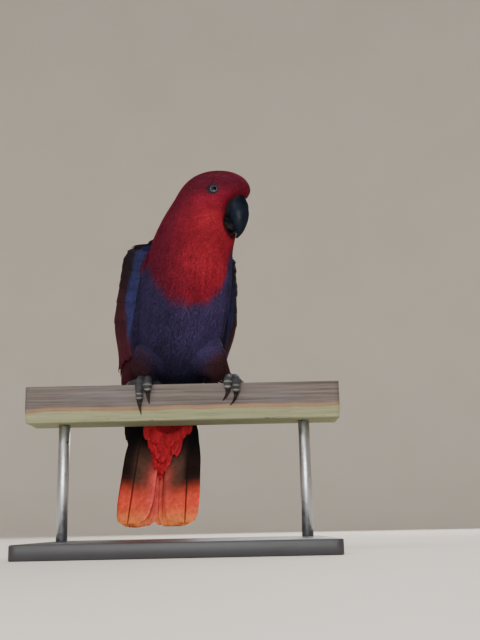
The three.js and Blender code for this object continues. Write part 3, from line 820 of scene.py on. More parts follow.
def wing_covered(points):
    """Where a wing lies so close over the body that no small feathers grow."""
    side, dorsal, down = BODY.of(points)
    turn = np.degrees(np.arctan2(dorsal - UNDER_WING["middle"], np.abs(side)))
    return between(turn, UNDER_WING["turns"]) & between(down, UNDER_WING["downs"])


# No feather's root is nearer than this to an eye's middle or to the bill, or further down the body
BARE = {"eye": 4.2, "bill": 0.3, "down": 172, "near": 36}


def bare(points):
    """Where the bill, the eyes and the wings leave no room for small feathers."""
    covered = wing_covered(points) | (from_eyes(points) < BARE["eye"])
    covered |= BODY.of(points)[2] > BARE["down"]
    near = np.flatnonzero(from_face(points) < BARE["near"])
    for _, _, tree in (upper_bill, lower_bill):
        covered[near] |= distance_to(points[near], tree) < BARE["bill"]
    return covered


LIE = {"neck": (20, 52), "droop": -0.35, "sway": 0.13}


def lie_of(points, normals):
    """The way that feathers lie: back from the bill over the head, then down the body."""
    from_bill = unit(points - FACE_POINT)
    trunk = rise(np.linalg.norm(points - NECK_POINT, axis=-1), *LIE["neck"])[:, None]
    way = mix(from_bill + (0, 0, LIE["droop"]), BODY.axes[2], trunk)
    way = unit(way - normals * dot(way, normals))
    sway = rng.normal(0, LIE["sway"], (len(points), 1))
    return unit(way + np.cross(normals, way) * sway)


# Rings of a tuft, from root to tip: how far along, and how wide
TUFT_RINGS = ((0, 0.75), (0.4, 1.0), (0.75, 0.62), (1, 0))
TUFT_SUNK = -0.45
TUFT_RIDGE = 0.22


def tuft_points(roots, normals, lies, lengths, widths, lifts, settle=None):
    """Thin tapered tufts with a low ridge, closed at root and tip, ten points each."""
    across = np.cross(normals, lies)
    rings = []
    for share, wide in TUFT_RINGS:
        lift = mix(TUFT_SUNK, lifts, math.sin(share * math.pi / 2))
        centre = roots + lies * (lengths * share)[:, None]
        if settle is None:
            centre = centre + normals * lift[:, None]
        else:
            centre = settle(centre, lift)
        half = across * (widths * wide / 2)[:, None]
        ridge = normals * (widths * TUFT_RIDGE * wide)[:, None]
        rings += [centre] if wide == 0 else [centre - half, centre + ridge, centre + half]
    return np.stack(rings, axis=1)


def tuft_faces(count):
    faces = [(0, 2, 1)]
    for ring in (0, 3):
        for a, b in ((0, 1), (1, 2), (2, 0)):
            faces += [(ring + a, ring + b, ring + b + 3), (ring + a, ring + b + 3, ring + a + 3)]
    faces += [(6, 7, 9), (7, 8, 9), (8, 6, 9)]
    return (np.array(faces)[None] + 10 * np.arange(count)[:, None, None]).reshape(-1, 3)


# For a tuft's ten points: how light each is, and its place in the tuft's patch on the unwrap
TUFT_SHADES = np.array([0.68, 0.68, 0.68, 0.86, 0.98, 0.86, 0.98, 1.08, 0.98, 1.16])
TUFT_PATCH = 0.003 * np.array([
    (-0.4, 0), (0, 0), (0.4, 0), (-0.5, 0.4), (0, 0.4), (0.5, 0.4),
    (-0.3, 0.75), (0, 0.75), (0.3, 0.75), (0, 1),
])
UNWRAP_ENDS = (0.004, 0.996)
MOST_TUFTS = 11500


def add_tufts(name, tufts, uv, colours, material):
    """Coat pieces of tufts, each small enough for the export."""
    pieces = math.ceil(len(tufts) / MOST_TUFTS)
    for number in range(pieces):
        part = slice(number * len(tufts) // pieces, (number + 1) * len(tufts) // pieces)
        points = tufts[part].reshape(-1, 3)
        places = (np.clip(uv[part][:, None], *UNWRAP_ENDS) + TUFT_PATCH).reshape(-1, 2)
        shades = (colours[part][:, None] * TUFT_SHADES[:, None]).reshape(-1, 3)
        title = name if pieces == 1 else f"{name}_{number + 1}"
        faces = tuft_faces(len(tufts[part]))
        mesh_from(title, points, faces, material, places, shades)


# Tufts that reach at most so far under the rail's top are laid on it
HANG = {"clear": 0.3, "most": 12, "behind": 1, "left": 0.1}


def over_rail(tufts):
    """Tufts that hang onto the rail's top, laid flat on it."""
    low = RAIL["top"] + HANG["clear"]
    height = tufts[..., 2] - low
    over = tufts[..., 1] < RAIL["depth"] / 2 + HANG["behind"]
    hangs = between(height, (-HANG["most"], 0)) & over
    tufts[..., 2] = np.where(hangs, low + HANG["left"] * height / HANG["most"], tufts[..., 2])
    return tufts


# How many tufts deep the coat lies, and how tufts hang longer and straighter near the rail
COVER = 4.2
NEAR_RAIL = {"middle": 5, "reach": (6, 16), "droop": 0.55, "longer": 0.3}


def add_small_feathers():
    roots, uv = grid_roots(skin, lambda at: 2 * COVER / (tuft_length(at) * tuft_width(at)))
    keep = np.flatnonzero(~bare(roots))
    keep = keep[np.argsort(BODY.of(roots[keep])[2])]
    roots = roots[keep]
    uv = uv[keep]
    count = len(roots)
    normals = body_normal(roots)
    lies = lie_of(roots, normals)
    lengths = tuft_length(roots) * rng.uniform(0.75, 1.2, count)
    widths = tuft_width(roots) * rng.uniform(0.8, 1.2, count)
    away = np.abs(roots[:, 2] - RAIL["top"] - NEAR_RAIL["middle"])
    hanging = 1 - rise(away, *NEAR_RAIL["reach"])
    lies = unit(mix(lies, np.array([0, 0, -1.0]), NEAR_RAIL["droop"] * hanging[:, None]))
    lengths = lengths * (1 + NEAR_RAIL["longer"] * hanging)
    level = -mix(BODY_COAT, HEAD_COAT, head_share(roots))
    lifts = -level * rng.uniform(0.55, 1.0, count)

    def settle(points, lift):
        return onto_body(points, level + lift)

    tufts = over_rail(tuft_points(roots, normals, lies, lengths, widths, lifts, settle))
    tones = rng.uniform(0.86, 1.16, count) * (1 + 0.2 * streaks(roots))
    shown = roots + lies * (0.7 * lengths)[:, None]
    colours = face_marks(roots, plumage(shown, rng.uniform(-1, 1, count))) * tones[:, None]
    add_tufts("small_feathers", tufts, uv, colours, soft_feathers)


# Head: bill, bare collar, eyes and lids

def horn_paint(name, dark, light, flakes, rough):
    """Smooth horn with faint lengthwise lines, and paler flakes where it is worn."""
    paint = Paint(name, roughness=rough, specular=0.05, coat=0.02, coat_roughness=0.3)
    place = paint.place()
    broad = paint.noise(place, 110, 4)
    lines = paint.noise(paint.stretched(place, (900, 900, 70)), 1, 3)
    flaking = paint.cells(paint.stretched(place, (420, 420, 700)), 1)
    tone = paint.ramp(broad, (0.32, linear(dark)), (0.7, linear(light)))
    worn = paint.spread(broad * 0.6 + flaking * 0.5, 0.52, 0.62) * flakes
    paint.put("Base Color", paint.blend(tone, rgba("5b5048"), worn))
    paint.put("Roughness", paint.spread(lines, 0.3, 0.7, rough - 0.05, rough + 0.1))
    paint.put("Normal", paint.bump(lines + worn, 0.2, 0.0003))
    return paint.material


def grey_skin_paint(name, dark, light, scale):
    """Bare scaly skin: small raised plates with darker joints."""
    paint = Paint(name, roughness=0.58, specular=0.2)
    place = paint.place()
    plates = paint.cells(place, scale, "DISTANCE_TO_EDGE")
    joints = paint.spread(plates, 0.02, 0.16)
    broad = paint.noise(place, 160, 3)
    tone = paint.ramp(broad, (0.3, linear(dark)), (0.7, linear(light)))
    paler = paint.blend(tone, rgba("a9a7a2"), paint.attribute("band"))
    shade = paint.spread(joints, 0, 1, 0.35, 1)
    paint.put("Base Color", paint.blend(rgba("141417"), paler, shade))
    paint.put("Normal", paint.bump(joints, 0.55, 0.0004))
    return paint.material


upper_horn = horn_paint("upper_bill_horn", "0a0d14", "171d29", 0.0, 0.34)
lower_horn = horn_paint("lower_bill_horn", "060709", "101013", 0.12, 0.45)
claw_horn = horn_paint("claw_horn", "151211", "2f2825", 0.2, 0.42)
collar_skin = grey_skin_paint("bill_collar_skin", "121214", "232324", 1500)
lid_skin = grey_skin_paint("eyelid_skin", "101115", "20232a", 1800)


def add_bill():
    for name, horn, bill in (("upper", upper_horn, upper_bill), ("lower", lower_horn, lower_bill)):
        points, faces, _ = bill
        piece = mesh_from(f"bill_{name}_horn", points, faces, horn)
        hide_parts(f"bill_{name}")


def add_bare_skin(name, points, faces, material):
    """Scaly skin with no pale band on it."""
    band = np.zeros((len(points), 3))
    mesh_from(name, points, faces, material, colours=band, attribute="band")


def add_collar():
    """The low rim of bare skin at the upper bill's root, with a nostril on each side."""
    start = mix(UPPER_BILL[0], UPPER_BILL[1], CERE["start"])
    end = mix(UPPER_BILL[0], UPPER_BILL[1], CERE["end"])
    sections = np.linspace(start, end, CERE["rings"])
    grows = CERE["proud"] * np.sqrt(1 - np.linspace(0, 1, CERE["rings"]) ** 4)
    turns = np.linspace(0, 2 * math.pi, 72, endpoint=False)
    rings = bill_point(sections[:, None, :], turns[None, :], grows[:, None])
    for side in SIDES.values():
        turn = NOSTRIL["turn"] if side > 0 else math.pi - NOSTRIL["turn"]
        centre = bill_point(mix(start, end, NOSTRIL["place"]), turn, CERE["proud"])
        near = np.linalg.norm(rings - centre, axis=-1, keepdims=True)
        pit = np.exp(-(near / NOSTRIL["radius"]) ** 2)
        rings = rings - HEAD.axes[0] * pit * 0.7 - HEAD.axes[1] * side * pit * 0.5
    add_bare_skin("bill_collar", *loft(rings), collar_skin)


# From the middle of the eye's front to its back: pupil, pale ring, dark rest
EYE_RINGS = (
    (0.0, "020203"), (0.152, "020203"), (0.163, "454f56"), (0.2, "5d676d"), (0.222, "14161a"),
    (1.0, "0a0a0c"),
)


def eye_paint():
    """A black pupil in a thin pale ring, on the eyeball's own polar map."""
    paint = Paint("eye_gloss", roughness=0.07, coat=0.03, coat_roughness=0.03, specular=0.12)
    rings = paint.axis(paint.uv("OFBake"), "Y")
    tone = paint.ramp(rings, *((place, linear(colour)) for place, colour in EYE_RINGS))
    fine = paint.noise(paint.place(), 2500, 2)
    paint.put("Base Color", paint.blend(tone, rgba("05060a"), 0.25 * fine))
    return paint.material


def add_eyes():
    gloss = eye_paint()
    rows, columns = 40, 48
    polar = np.linspace(0, math.pi, rows)[:, None]
    around = np.linspace(0, 2 * math.pi, columns, endpoint=False)[None, :]
    for name, side in SIDES.items():
        root, out, ahead, across = eye_frame(side)
        flat = np.cos(around)[..., None] * ahead + np.sin(around)[..., None] * across
        ball_out = np.cos(polar)[..., None] * out + np.sin(polar)[..., None] * flat
        rings = root + out * (EYE["proud"] - EYE["radius"]) + EYE["radius"] * ball_out
        points, faces = skinned(rings)
        spots = np.stack(np.broadcast_arrays(around / (2 * math.pi), polar / math.pi), -1)
        ball = mesh_from(f"eyeball_{name}", points, faces, gloss, spots.reshape(-1, 2))
        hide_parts(f"eye_{name}")
        add_lid(name, side)


# Round the eyelid's section: radius from the eye's middle, and height over the face
LID_SECTION = (
    (3.25, 0.3), (3.32, 0.6), (3.5, 0.8), (3.8, 0.82), (4.15, 0.62), (4.6, 0.25), (4.95, -0.5),
    (4.3, -1.2), (3.5, -0.5), (3.25, 0.3),
)
LID_BEADS = {"count": 22, "height": 0.08, "above": 0.6}


def add_lid(name, side):
    """A beaded ring of dark skin, sloping from the face onto the eyeball."""
    turns = np.linspace(0, 2 * math.pi, 88, endpoint=False)
    beads = LID_BEADS["height"] * np.cos(LID_BEADS["count"] * turns)[:, None]
    root, out, ahead, across = eye_frame(side)
    flat = np.cos(turns)[:, None] * ahead + np.sin(turns)[:, None] * across * 0.95
    rings = []
    for radius, proud in LID_SECTION:
        wide = radius + beads * (proud > LID_BEADS["above"])
        rings.append(root + flat * wide + out * (proud + beads))
    add_bare_skin(f"eyelid_{name}", *skinned(rings), lid_skin)


# Long feathers of the wings and tail: thin solid vanes, each with its own cell on the unwrap

VANE_COLUMNS = np.array([-1, -0.86, -0.55, -0.25, -0.04, 0.04, 0.25, 0.55, 0.86, 1.0])
ROUND_TIP = ((0, 0.5), (0.25, 0.88), (0.5, 1.0), (0.72, 0.95), (0.86, 0.74), (0.95, 0.45), (1, 0.1))
VANE_THICK = 0.38
VANE_SHAFT = {"high": 0.22, "half": 0.1}


def vane_rows(count):
    """Places along a vane, closer together towards its tip."""
    t = np.linspace(0, 1, count)
    return mix(t, np.sin(t * math.pi / 2), 0.6)


def vane_grid(count):
    """The place along a vane of each point on one of its faces."""
    return np.repeat(vane_rows(count)[:, None], len(VANE_COLUMNS), axis=1)


def vane(place, root, tip, wide, lifts, tilt, rows, camber=0.35, outline=ROUND_TIP, split=0.04):
    """Both faces of one feather. root and tip are (across, along), wide the two half widths."""
    shares = vane_rows(rows)[:, None]
    column = VANE_COLUMNS[None, :]
    half = np.where(column < 0, wide[0], wide[1]) * graph(outline, shares)
    half = half * (1 - split * rng.random((rows, 1)))
    middle = mix(root[0], tip[0], shares)
    along = mix(root[1], tip[1], shares) - 0.06 * np.abs(column) * half * (1 - shares)
    raised = graph(lifts, shares) + tilt * column + camber * (1 - column ** 2)
    shaft = VANE_SHAFT["high"] * (np.abs(column) < VANE_SHAFT["half"]) * (1 - 0.6 * shares)
    thick = VANE_THICK * (1 - 0.45 * np.abs(column)) * (1 - 0.5 * shares ** 4)
    top = place(middle + column * half, along, raised + shaft)
    under = place(middle + column * half, along, raised - thick - shaft)
    return np.stack([top, under])


def vane_faces(rows):
    """Faces of both sides and the edges of a vane, split alike."""
    columns = len(VANE_COLUMNS)
    size = rows * columns
    top = grid_faces(rows, columns)
    under = top[:, ::-1] + size
    r = np.arange(rows - 1)
    c = np.arange(columns - 1)
    first = r * columns
    last = first + columns - 1
    ends = (rows - 1) * columns
    sides = [
        np.stack([first + columns, first, first + size, first + columns + size], -1),
        np.stack([last, last + columns, last + columns + size, last + size], -1),
        np.stack([c, c + 1, c + 1 + size, c + size], -1)[:, ::-1],
        np.stack([ends + c + 1, ends + c, ends + c + size, ends + c + 1 + size], -1)[:, ::-1],
    ]
    return np.concatenate([top, under, *sides])


class Vanes:
    """Feathers gathered into one piece."""

    def __init__(self, rows):
        self.rows = rows
        self.points = []
        self.colours = []

    def add(self, surfaces, colours):
        self.points.append(surfaces.reshape(-1, 3))
        self.colours.append(np.broadcast_to(colours, surfaces.shape).reshape(-1, 3))

    def piece(self, name, material, slot):
        count = len(self.points)
        size = len(self.points[0])
        template = vane_faces(self.rows)
        if (outward(self.points[0], template) != template).any():
            template = template[:, ::-1]
        faces = (template[None] + size * np.arange(count)[:, None, None]).reshape(-1, 4)
        across = math.ceil(math.sqrt(count * 2))
        cells = (across, math.ceil(count / across))
        cell = np.arange(count)
        corner = np.stack([cell % across, cell // across], -1) / cells
        v = vane_grid(self.rows)
        u = np.broadcast_to((VANE_COLUMNS + 1) / 2, v.shape)
        face_uv = np.stack([u, v], -1)
        both = np.stack([face_uv * (0.46, 0.92) + (left, 0.04) for left in (0.02, 0.52)])
        places = both.reshape(-1, 2) / cells
        uv = (corner[:, None, :] + places[None]).reshape(-1, 2)
        barbs = np.tile(np.stack([face_uv, face_uv]).reshape(-1, 2), (count, 1))
        points = np.concatenate(self.points)
        made = mesh_from(name, points, faces, material, uv, np.concatenate(self.colours))
        layer = made.data.uv_layers.new(name="Barbs")
        layer.data.foreach_set("uv", barbs.astype(np.float32)[faces.ravel()].ravel())
        return made


def vane_paint(name, rough, barb_count, dark_shaft):
    """Long feathers: fine slanting barbs on both sides of the shaft, and soft mottling."""
    paint = Paint(name, roughness=rough, specular=0.1)
    uv = paint.uv("Barbs")
    across = paint.axis(uv, "X")
    along = paint.axis(uv, "Y")
    from_shaft = abs(across - 0.5)
    slant = paint.node("ShaderNodeCombineXYZ", None, {0: along - 0.35 * from_shaft})
    barbs = paint.waves(slant, barb_count, 0.6, 1)
    mottle = paint.noise(paint.place(), 220, 3)
    shade = paint.spread(barbs, 0, 1, 0.86, 1.08) * paint.spread(mottle, 0.3, 0.7, 0.84, 1.14)
    shaft = paint.spread(from_shaft, 0.014, 0.03, 1.0, 0.0)
    colour = paint.shaded(paint.attribute("plumage"), shade)
    paint.put("Base Color", paint.blend(colour, rgba("1a0d0e"), dark_shaft * shaft))
    paint.put("Roughness", paint.spread(barbs, 0, 1, rough - 0.06, rough + 0.08))
    paint.put("Normal", paint.bump(barbs, 0.22, 0.0003))
    return paint.material


# Wings

# How far each folded wing reaches to its side, and the turns of its front and back edges
WING = {"half": {"left": 58, "right": 56.5}, "front": -47, "back": 80}
# Millimetres round a wing for one degree
WING_ARC = 0.82
# For distances down the body: the share of that reach, and a wing's depth and middle
WING_SPREAD = {
    "left": (
        (-4, 0.58), (0, 0.77), (5, 0.87), (14, 0.91), (34, 0.98), (65, 1.045), (112, 0.925),
        (178, 0.5),
    ),
    "right": ((-4, 0.62), (0, 0.84), (5, 0.95), (14, 1), (65, 1.03), (112, 0.87), (178, 0.68)),
}
WING_DEEP = ((-4, 11), (0, 16), (8, 20), (30, 23), (90, 21), (130, 15), (178, 8))
WING_MIDDLE = ((-4, 17), (20, 19), (130, 18), (178, 20))


def wing_point(name, turn, down, lift):
    side = SIDES[name]
    wide = WING["half"][name] * graph(WING_SPREAD[name], down)
    angle = np.radians(turn)
    return BODY.at(
        side * (wide + lift) * np.cos(angle),
        graph(WING_MIDDLE, down) + (graph(WING_DEEP, down) + lift) * np.sin(angle),
        down,
    )


SHOULDER_TOP = {"down": -4, "reach": 12, "high": 6, "inside": 16}


def wing_shell(name, turn, down, lift):
    """The wing's surface, closed over the shoulder above its top edge."""
    down = np.asarray(down, float)
    over = np.clip((SHOULDER_TOP["down"] - down) / SHOULDER_TOP["reach"], 0, 1) * math.pi / 2
    edge = wing_point(name, turn, np.maximum(down, SHOULDER_TOP["down"]), lift)
    middle = BODY.at(SIDES[name] * SHOULDER_TOP["inside"], 17, SHOULDER_TOP["down"])
    raised = (SHOULDER_TOP["high"] * np.sin(over))[..., None] * -BODY.axes[2]
    return middle + (edge - middle) * np.cos(over)[..., None] + raised


COVERT = {
    "turns": (-42, 75), "tips": (-42, 74), "outline": ROUND_TIP,
    "lifts": ((0, -2.7), (0.25, -2.1), (0.6, -1.5), (1, -1.1)),
}
FLIGHT_TIP = ((0, 0.6), (0.3, 0.9), (0.7, 1.0), (0.9, 0.92), (0.96, 0.75), (0.99, 0.5), (1, 0.25))
# Rows of feathers, from the shoulder down. Turns run from the wing's front edge to its back,
# and ends are how far down the feathers reach from front to back.
COVERT_ROWS = (
    {"count": 18, "half": 5, "roots": (-9, -8), "ends": (6, 7)},
    {"count": 20, "half": 4.8, "roots": (-2, -1), "ends": (13, 14)},
    {"count": 20, "half": 4.8, "roots": (4, 5), "ends": (20, 22)},
    {"count": 20, "half": 5, "roots": (10, 12), "ends": (27, 31)},
    {"count": 18, "half": 5.6, "roots": (17, 20), "ends": (36, 42)},
    {"count": 16, "half": 6.3, "roots": (26, 29), "ends": (49, 57)},
    {"count": 14, "half": 6.8, "roots": (37, 41), "ends": (64, 75)},
)
WING_ROWS = (
    *({**COVERT, **row} for row in COVERT_ROWS),
    {
        "count": 12, "half": 7.6, "turns": (-41, 73), "tips": (-36, 67), "roots": (53, 57),
        "ends": (98, 110, 118, 126, 132), "lifts": ((0, -2.6), (0.2, -1.7), (0.5, -1.3), (1, -1.1)),
        "outline": ROUND_TIP,
    },
    {
        "count": 10, "half": 7.2, "turns": (-36, 22), "tips": (-46, 30), "roots": (84, 84),
        "ends": (178, 181.5, 179, 166, 150, 138), "outline": FLIGHT_TIP,
        "lifts": ((0, -8), (0.14, -6.4), (0.3, -4.2), (1, -3.4)),
    },
)
BLUE_BAND = {
    "outer": ((2, -24), (17, -28.5), (34, -24.5), (47, -24.5), (70, -31.5)),
    "inner": ((6, -43), (23, -40), (68, -39), (78, -36)),
    "end": (72, 90),
}
# The left wing's feathers are painted a little darker: painted shade, as on the side of the bird away
# from the window light
WING_PAINTED_SHADE = {"left": 0.75, "right": 1.0}
FEATHER_END_RED = linear("5a1f2a")


def wing_colour(turn, down, share, tone):
    """Dark maroon, with a blue band down the front edge and paler maroon feather ends."""
    redness = np.maximum(0.05 + 0.75 * rise(down, 12, 90), 0.9 * rise(turn, 0, 40))
    base = toward(filled(SOOT, share), MAROON, redness)
    base = toward(base, BACK_RED, 0.6 * rise(turn, 10, 55) * (1 - rise(down, 90, 130)))
    outer, inner = (rise(graph(BLUE_BAND[edge], down) - turn, -2, 2) for edge in ("outer", "inner"))
    brighter = mix(0.75, 1.35, rise(down, 20, 70))[..., None]
    colour = toward(base, BLUE * brighter, outer * (1 - rise(down, *BLUE_BAND["end"])))
    colour = toward(colour, INDIGO, 0.85 * inner)
    end = rise(share, 0.8, 1.0) * rise(down, 80, 130)
    colour = toward(colour, FEATHER_END_RED, 0.45 * end)
    colour = toward(colour, SOOT, rise(down, 150, 166))
    return colour * tone * (0.7 + 0.3 * rise(share, 0.3, 0.75))[..., None]


wing_vane_paint = vane_paint("wing_feather_vanes", 0.55, 60, 0.3)
tail_vane_paint = vane_paint("tail_feather_vanes", 0.55, 110, 0.8)


def add_wing_feather(vanes, name, place, row, share):
    """One feather of a row. share is how far along the row it stands, from front to back."""
    end_places = np.linspace(0, 1, len(row["ends"]))
    root_turn = mix(*row["turns"], share)
    tip_turn = mix(*row["tips"], share) + rng.normal(0, 0.8)
    end = np.interp(share, end_places, row["ends"]) + rng.normal(0, 1.0)
    root = (root_turn * WING_ARC, mix(*row["roots"], share))
    tip = (tip_turn * WING_ARC, end)
    half = row["half"] * rng.uniform(0.96, 1.05)
    surfaces = vane(
        place, root, tip, (half, half), row["lifts"], 0.4, vanes.rows,
        camber=0.3, outline=row["outline"], split=0.07,
    )
    shares = vane_grid(vanes.rows)
    turn = mix(root_turn, tip_turn, shares) + VANE_COLUMNS * half / WING_ARC
    down = mix(root[1], tip[1], shares)
    # The feather's colours, with painted shade over the whole left wing
    colours = wing_colour(turn, down, shares, WING_PAINTED_SHADE[name] * rng.uniform(0.86, 1.14))
    vanes.add(surfaces, np.stack([colours, colours * 0.8]))


def add_wing(name):
    def place(across, along, lift):
        return wing_shell(name, across / WING_ARC, along, lift)

    vanes = Vanes(rows=13)
    for row in WING_ROWS:
        for i in range(row["count"]):
            add_wing_feather(vanes, name, place, row, i / (row["count"] - 1))
    piece = vanes.piece(f"wing_vanes_{name}", wing_vane_paint, "wing_feathers")
    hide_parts(f"wing_{name}")
    add_wing_pad(name)


# The flesh runs between these distances down, with its rings closer over the shoulder
WING_PAD = {"lift": -3.4, "downs": ((-15, 16, 24), (20, 100, 20)), "columns": 40, "deep": 0.35}


def wing_edges(down):
    """The turns of the wing's front and back edges at a distance down."""
    front = graph(((-4, -30), (10, WING["front"]), (100, -40)), down)
    back = graph(((-4, 60), (10, WING["back"])), down)
    return front, back


def add_wing_pad(name):
    """The flesh under the vanes."""
    rows = []
    for down in np.concatenate([np.linspace(*part) for part in WING_PAD["downs"]]):
        turns = np.linspace(*wing_edges(down), WING_PAD["columns"])
        outer = wing_shell(name, turns, down, WING_PAD["lift"])
        inner = mix(outer, BODY.at(0, 0, down), WING_PAD["deep"])[::-1]
        rows.append(np.concatenate([outer, inner]))
    points, faces = loft(np.array(rows))
    colours = filled(UMBER, points[:, 0])
    mesh_from(f"wing_flesh_{name}", points, faces, skin_down, colours=colours)


FRINGE = {
    "turns": (-53, 80), "downs": (-15, 104), "lift": -0.9, "thickness": 1.7,
    "front": (40, 45), "top": (-2, 5),
}


def add_wing_fringe(name):
    """Soft body feathers over the wing's front edge and over the shoulder."""
    downs = np.linspace(*FRINGE["downs"], 100)
    turns = np.linspace(*FRINGE["turns"], 90)
    grid = wing_shell(name, turns[None, :], downs[:, None], FRINGE["lift"])
    roots, uv = grid_roots(grid, lambda at: np.full(len(at), FRINGE["thickness"]), closed=False)
    turn = mix(*FRINGE["turns"], uv[:, 0])
    down = mix(*FRINGE["downs"], uv[:, 1])
    front = rise(-turn, *FRINGE["front"])
    top = rise(-down, *FRINGE["top"])
    keep = rng.random(len(roots)) < np.maximum(front, top)
    roots, uv, turn, down, front, top = (part[keep] for part in (roots, uv, turn, down, front, top))
    ahead = wing_shell(name, turn + 1, down, FRINGE["lift"]) - roots
    lower = wing_shell(name, turn, down + 1, FRINGE["lift"]) - roots
    normals = unit(np.cross(ahead, lower))
    normals = normals * np.sign(dot(normals, roots - BODY.at(0, 17, down)))
    count = len(roots)
    sway = rng.normal(0.12, 0.14, (count, 1)) * front[:, None]
    lies = unit(unit(lower) + unit(ahead) * sway)
    lengths = rng.uniform(5, 8, count) * mix(1, 0.62, top)
    widths = rng.uniform(0.7, 1.0, count)
    lifts = rng.uniform(0.5, 1.0, count) * mix(1, 0.6, top)
    tufts = tuft_points(roots, normals, lies, lengths, widths, lifts)
    colours = fringe_colours(name, roots, turn, down)
    add_tufts(f"wing_fringe_{name}", tufts, uv, colours, soft_feathers)


def fringe_colours(name, roots, turn, down):
    """The wing's colours over it and the body's beside it, with painted shade at the front edge."""
    count = len(roots)
    body = plumage(roots, rng.uniform(-1, 1, count))
    wing = wing_colour(turn, down, np.ones(count), 1.0)
    outer = rise(turn, -46, -40) * (1 - rise(turn, 66, 80))
    # Painted shade: darker over the body just ahead of the wing's front edge, where it meets the
    # belly, and over the whole left wing
    shade = WING_PAINTED_SHADE[name] * mix(1, 0.6, rise(-turn, 43, 51)) * rng.uniform(0.8, 1.2, count)
    return toward(body, wing, outer) * shade[:, None]


# Long feathers of the back, over the wings' inner edges
MANTLE = {
    "turn": 66, "across": (4, 10, 16, 22, 28), "roots": (4, 18, 32, 46, 60, 74),
    "length": 27, "half": 5.6, "stagger": 3, "lifts": ((0, -2.4), (0.3, -0.8), (1, 0.2)),
}
back_downs = np.linspace(-10, 130, 29)
backwards = np.tile(BODY.axes[1], (len(back_downs), 1))
back_heights = reach_from(BODY.at(0, 0, back_downs), backwards, 0.0)


def mantle_point(name, across, down, lift):
    """The bridge from the middle of the back to the wing, and on over the wing."""
    inner_turn = math.radians(MANTLE["turn"])
    side, dorsal, _ = BODY.of(wing_point(name, MANTLE["turn"], down, lift))
    share = np.clip(across / np.abs(side), 0, 1)
    height = np.interp(down, back_downs, back_heights) + lift
    bridge = BODY.at(SIDES[name] * across, mix(height, dorsal, smooth(share)), down)
    onto_wing = np.maximum(across - np.abs(side), 0) / (WING_ARC * math.sin(inner_turn))
    over = wing_point(name, MANTLE["turn"] - onto_wing, down, lift)
    return np.where((across < np.abs(side))[..., None], bridge, over)


def add_mantle(name):
    vanes = Vanes(rows=11)

    def place(across, along, lift):
        return mantle_point(name, across, along, lift)

    for number, start in enumerate(MANTLE["roots"]):
        for across in MANTLE["across"]:
            middle = across + MANTLE["stagger"] * (number % 2) + rng.normal(0, 0.6)
            begin = start + rng.normal(0, 1.2)
            root = (middle * 0.9, begin)
            tip = (middle, begin + MANTLE["length"] + rng.normal(0, 1.5))
            half = MANTLE["half"] * rng.uniform(0.92, 1.08)
            wide = (half, half)
            surfaces = vane(place, root, tip, wide, MANTLE["lifts"], -0.4, vanes.rows, split=0.08)
            shares = vane_grid(vanes.rows)
            redness = (0.5 + 0.5 * shares) * (1 - 0.3 * rise(middle, 12, 24))
            red = toward(filled(SOOT, shares), BACK_RED, redness)
            colours = red * rng.uniform(0.8, 1.15) * (0.7 + 0.3 * shares)[..., None]
            vanes.add(surfaces, np.stack([colours, colours * 0.8]))
    vanes.piece(f"mantle_{name}", wing_vane_paint, "wing_feathers")


# Tail

TAIL = {"top": 12.4, "arch": 2, "sideways": 1.4, "root": 154, "fanning": 0.4, "layer": -1.15}
TAIL_ROOT_ACROSS = {"left": (1.5, 14), "right": (1.5, 19)}
# Each side's feathers from the middle pair, on top, to the outermost, lowest: where the tip
# lies, where it ends, and the half widths towards the middle and the outer edge
TAIL_FEATHERS = (
    (7, 261.5, 9.5, 8.5),
    (13, 262, 11, 9),
    (18, 262, 12.5, 9.5),
    (22, 261, 14, 10.5),
    (25.6, 259.5, 17, 12),
    (28.2, 257, 22.5, 13),
)
BROAD_TIP = (
    (0, 0.74), (0.12, 0.84), (0.4, 0.97), (0.75, 1.0), (0.9, 0.93), (0.96, 0.76), (0.99, 0.5),
    (1, 0.3),
)
TAIL_BROWN = linear("543a30")
TAIL_RED = linear("f25642")
TAIL_ORANGE = linear("fd8b51")
TAIL_PINK = linear("ea5a54")
TAIL_TOP_RED = linear("8a2226")
TAIL_TOP_ORANGE = linear("dd5f38")


def tail_place(across, along, lift):
    share = (along - TAIL_CUT) / (TAIL_TIP - TAIL_CUT)
    drop = TAIL["arch"] * (across / 30) ** 2 + 2 * share
    return BODY.at(across + TAIL["sideways"] * share, TAIL["top"] + lift - drop, along)


def tail_under_colour(across, along):
    """Black at the root, brown, then red into an orange end; pinker up the middle."""
    outermost = np.maximum(rise(across, 16, 24), rise(-across, 24, 32))
    edge = 0.85 * outermost * (1 - 0.7 * rise(along, 205, 235))
    brown = toward(filled(SOOT * 0.5, along), TAIL_BROWN, rise(along, 172, 200) * (1 - edge))
    warm = toward(brown, TAIL_RED, rise(along + 0.25 * np.abs(across), 218, 242))
    colour = toward(warm, TAIL_ORANGE, rise(along, 236, 257))
    middle = np.exp(-((across + 3) / 9) ** 2) * (1 - 0.5 * rise(along, 240, 258))
    return toward(colour, TAIL_PINK, middle * rise(along, 190, 212))


def tail_top_colour(along):
    return toward(filled(TAIL_TOP_RED, along), TAIL_TOP_ORANGE, rise(along, 226, 256))


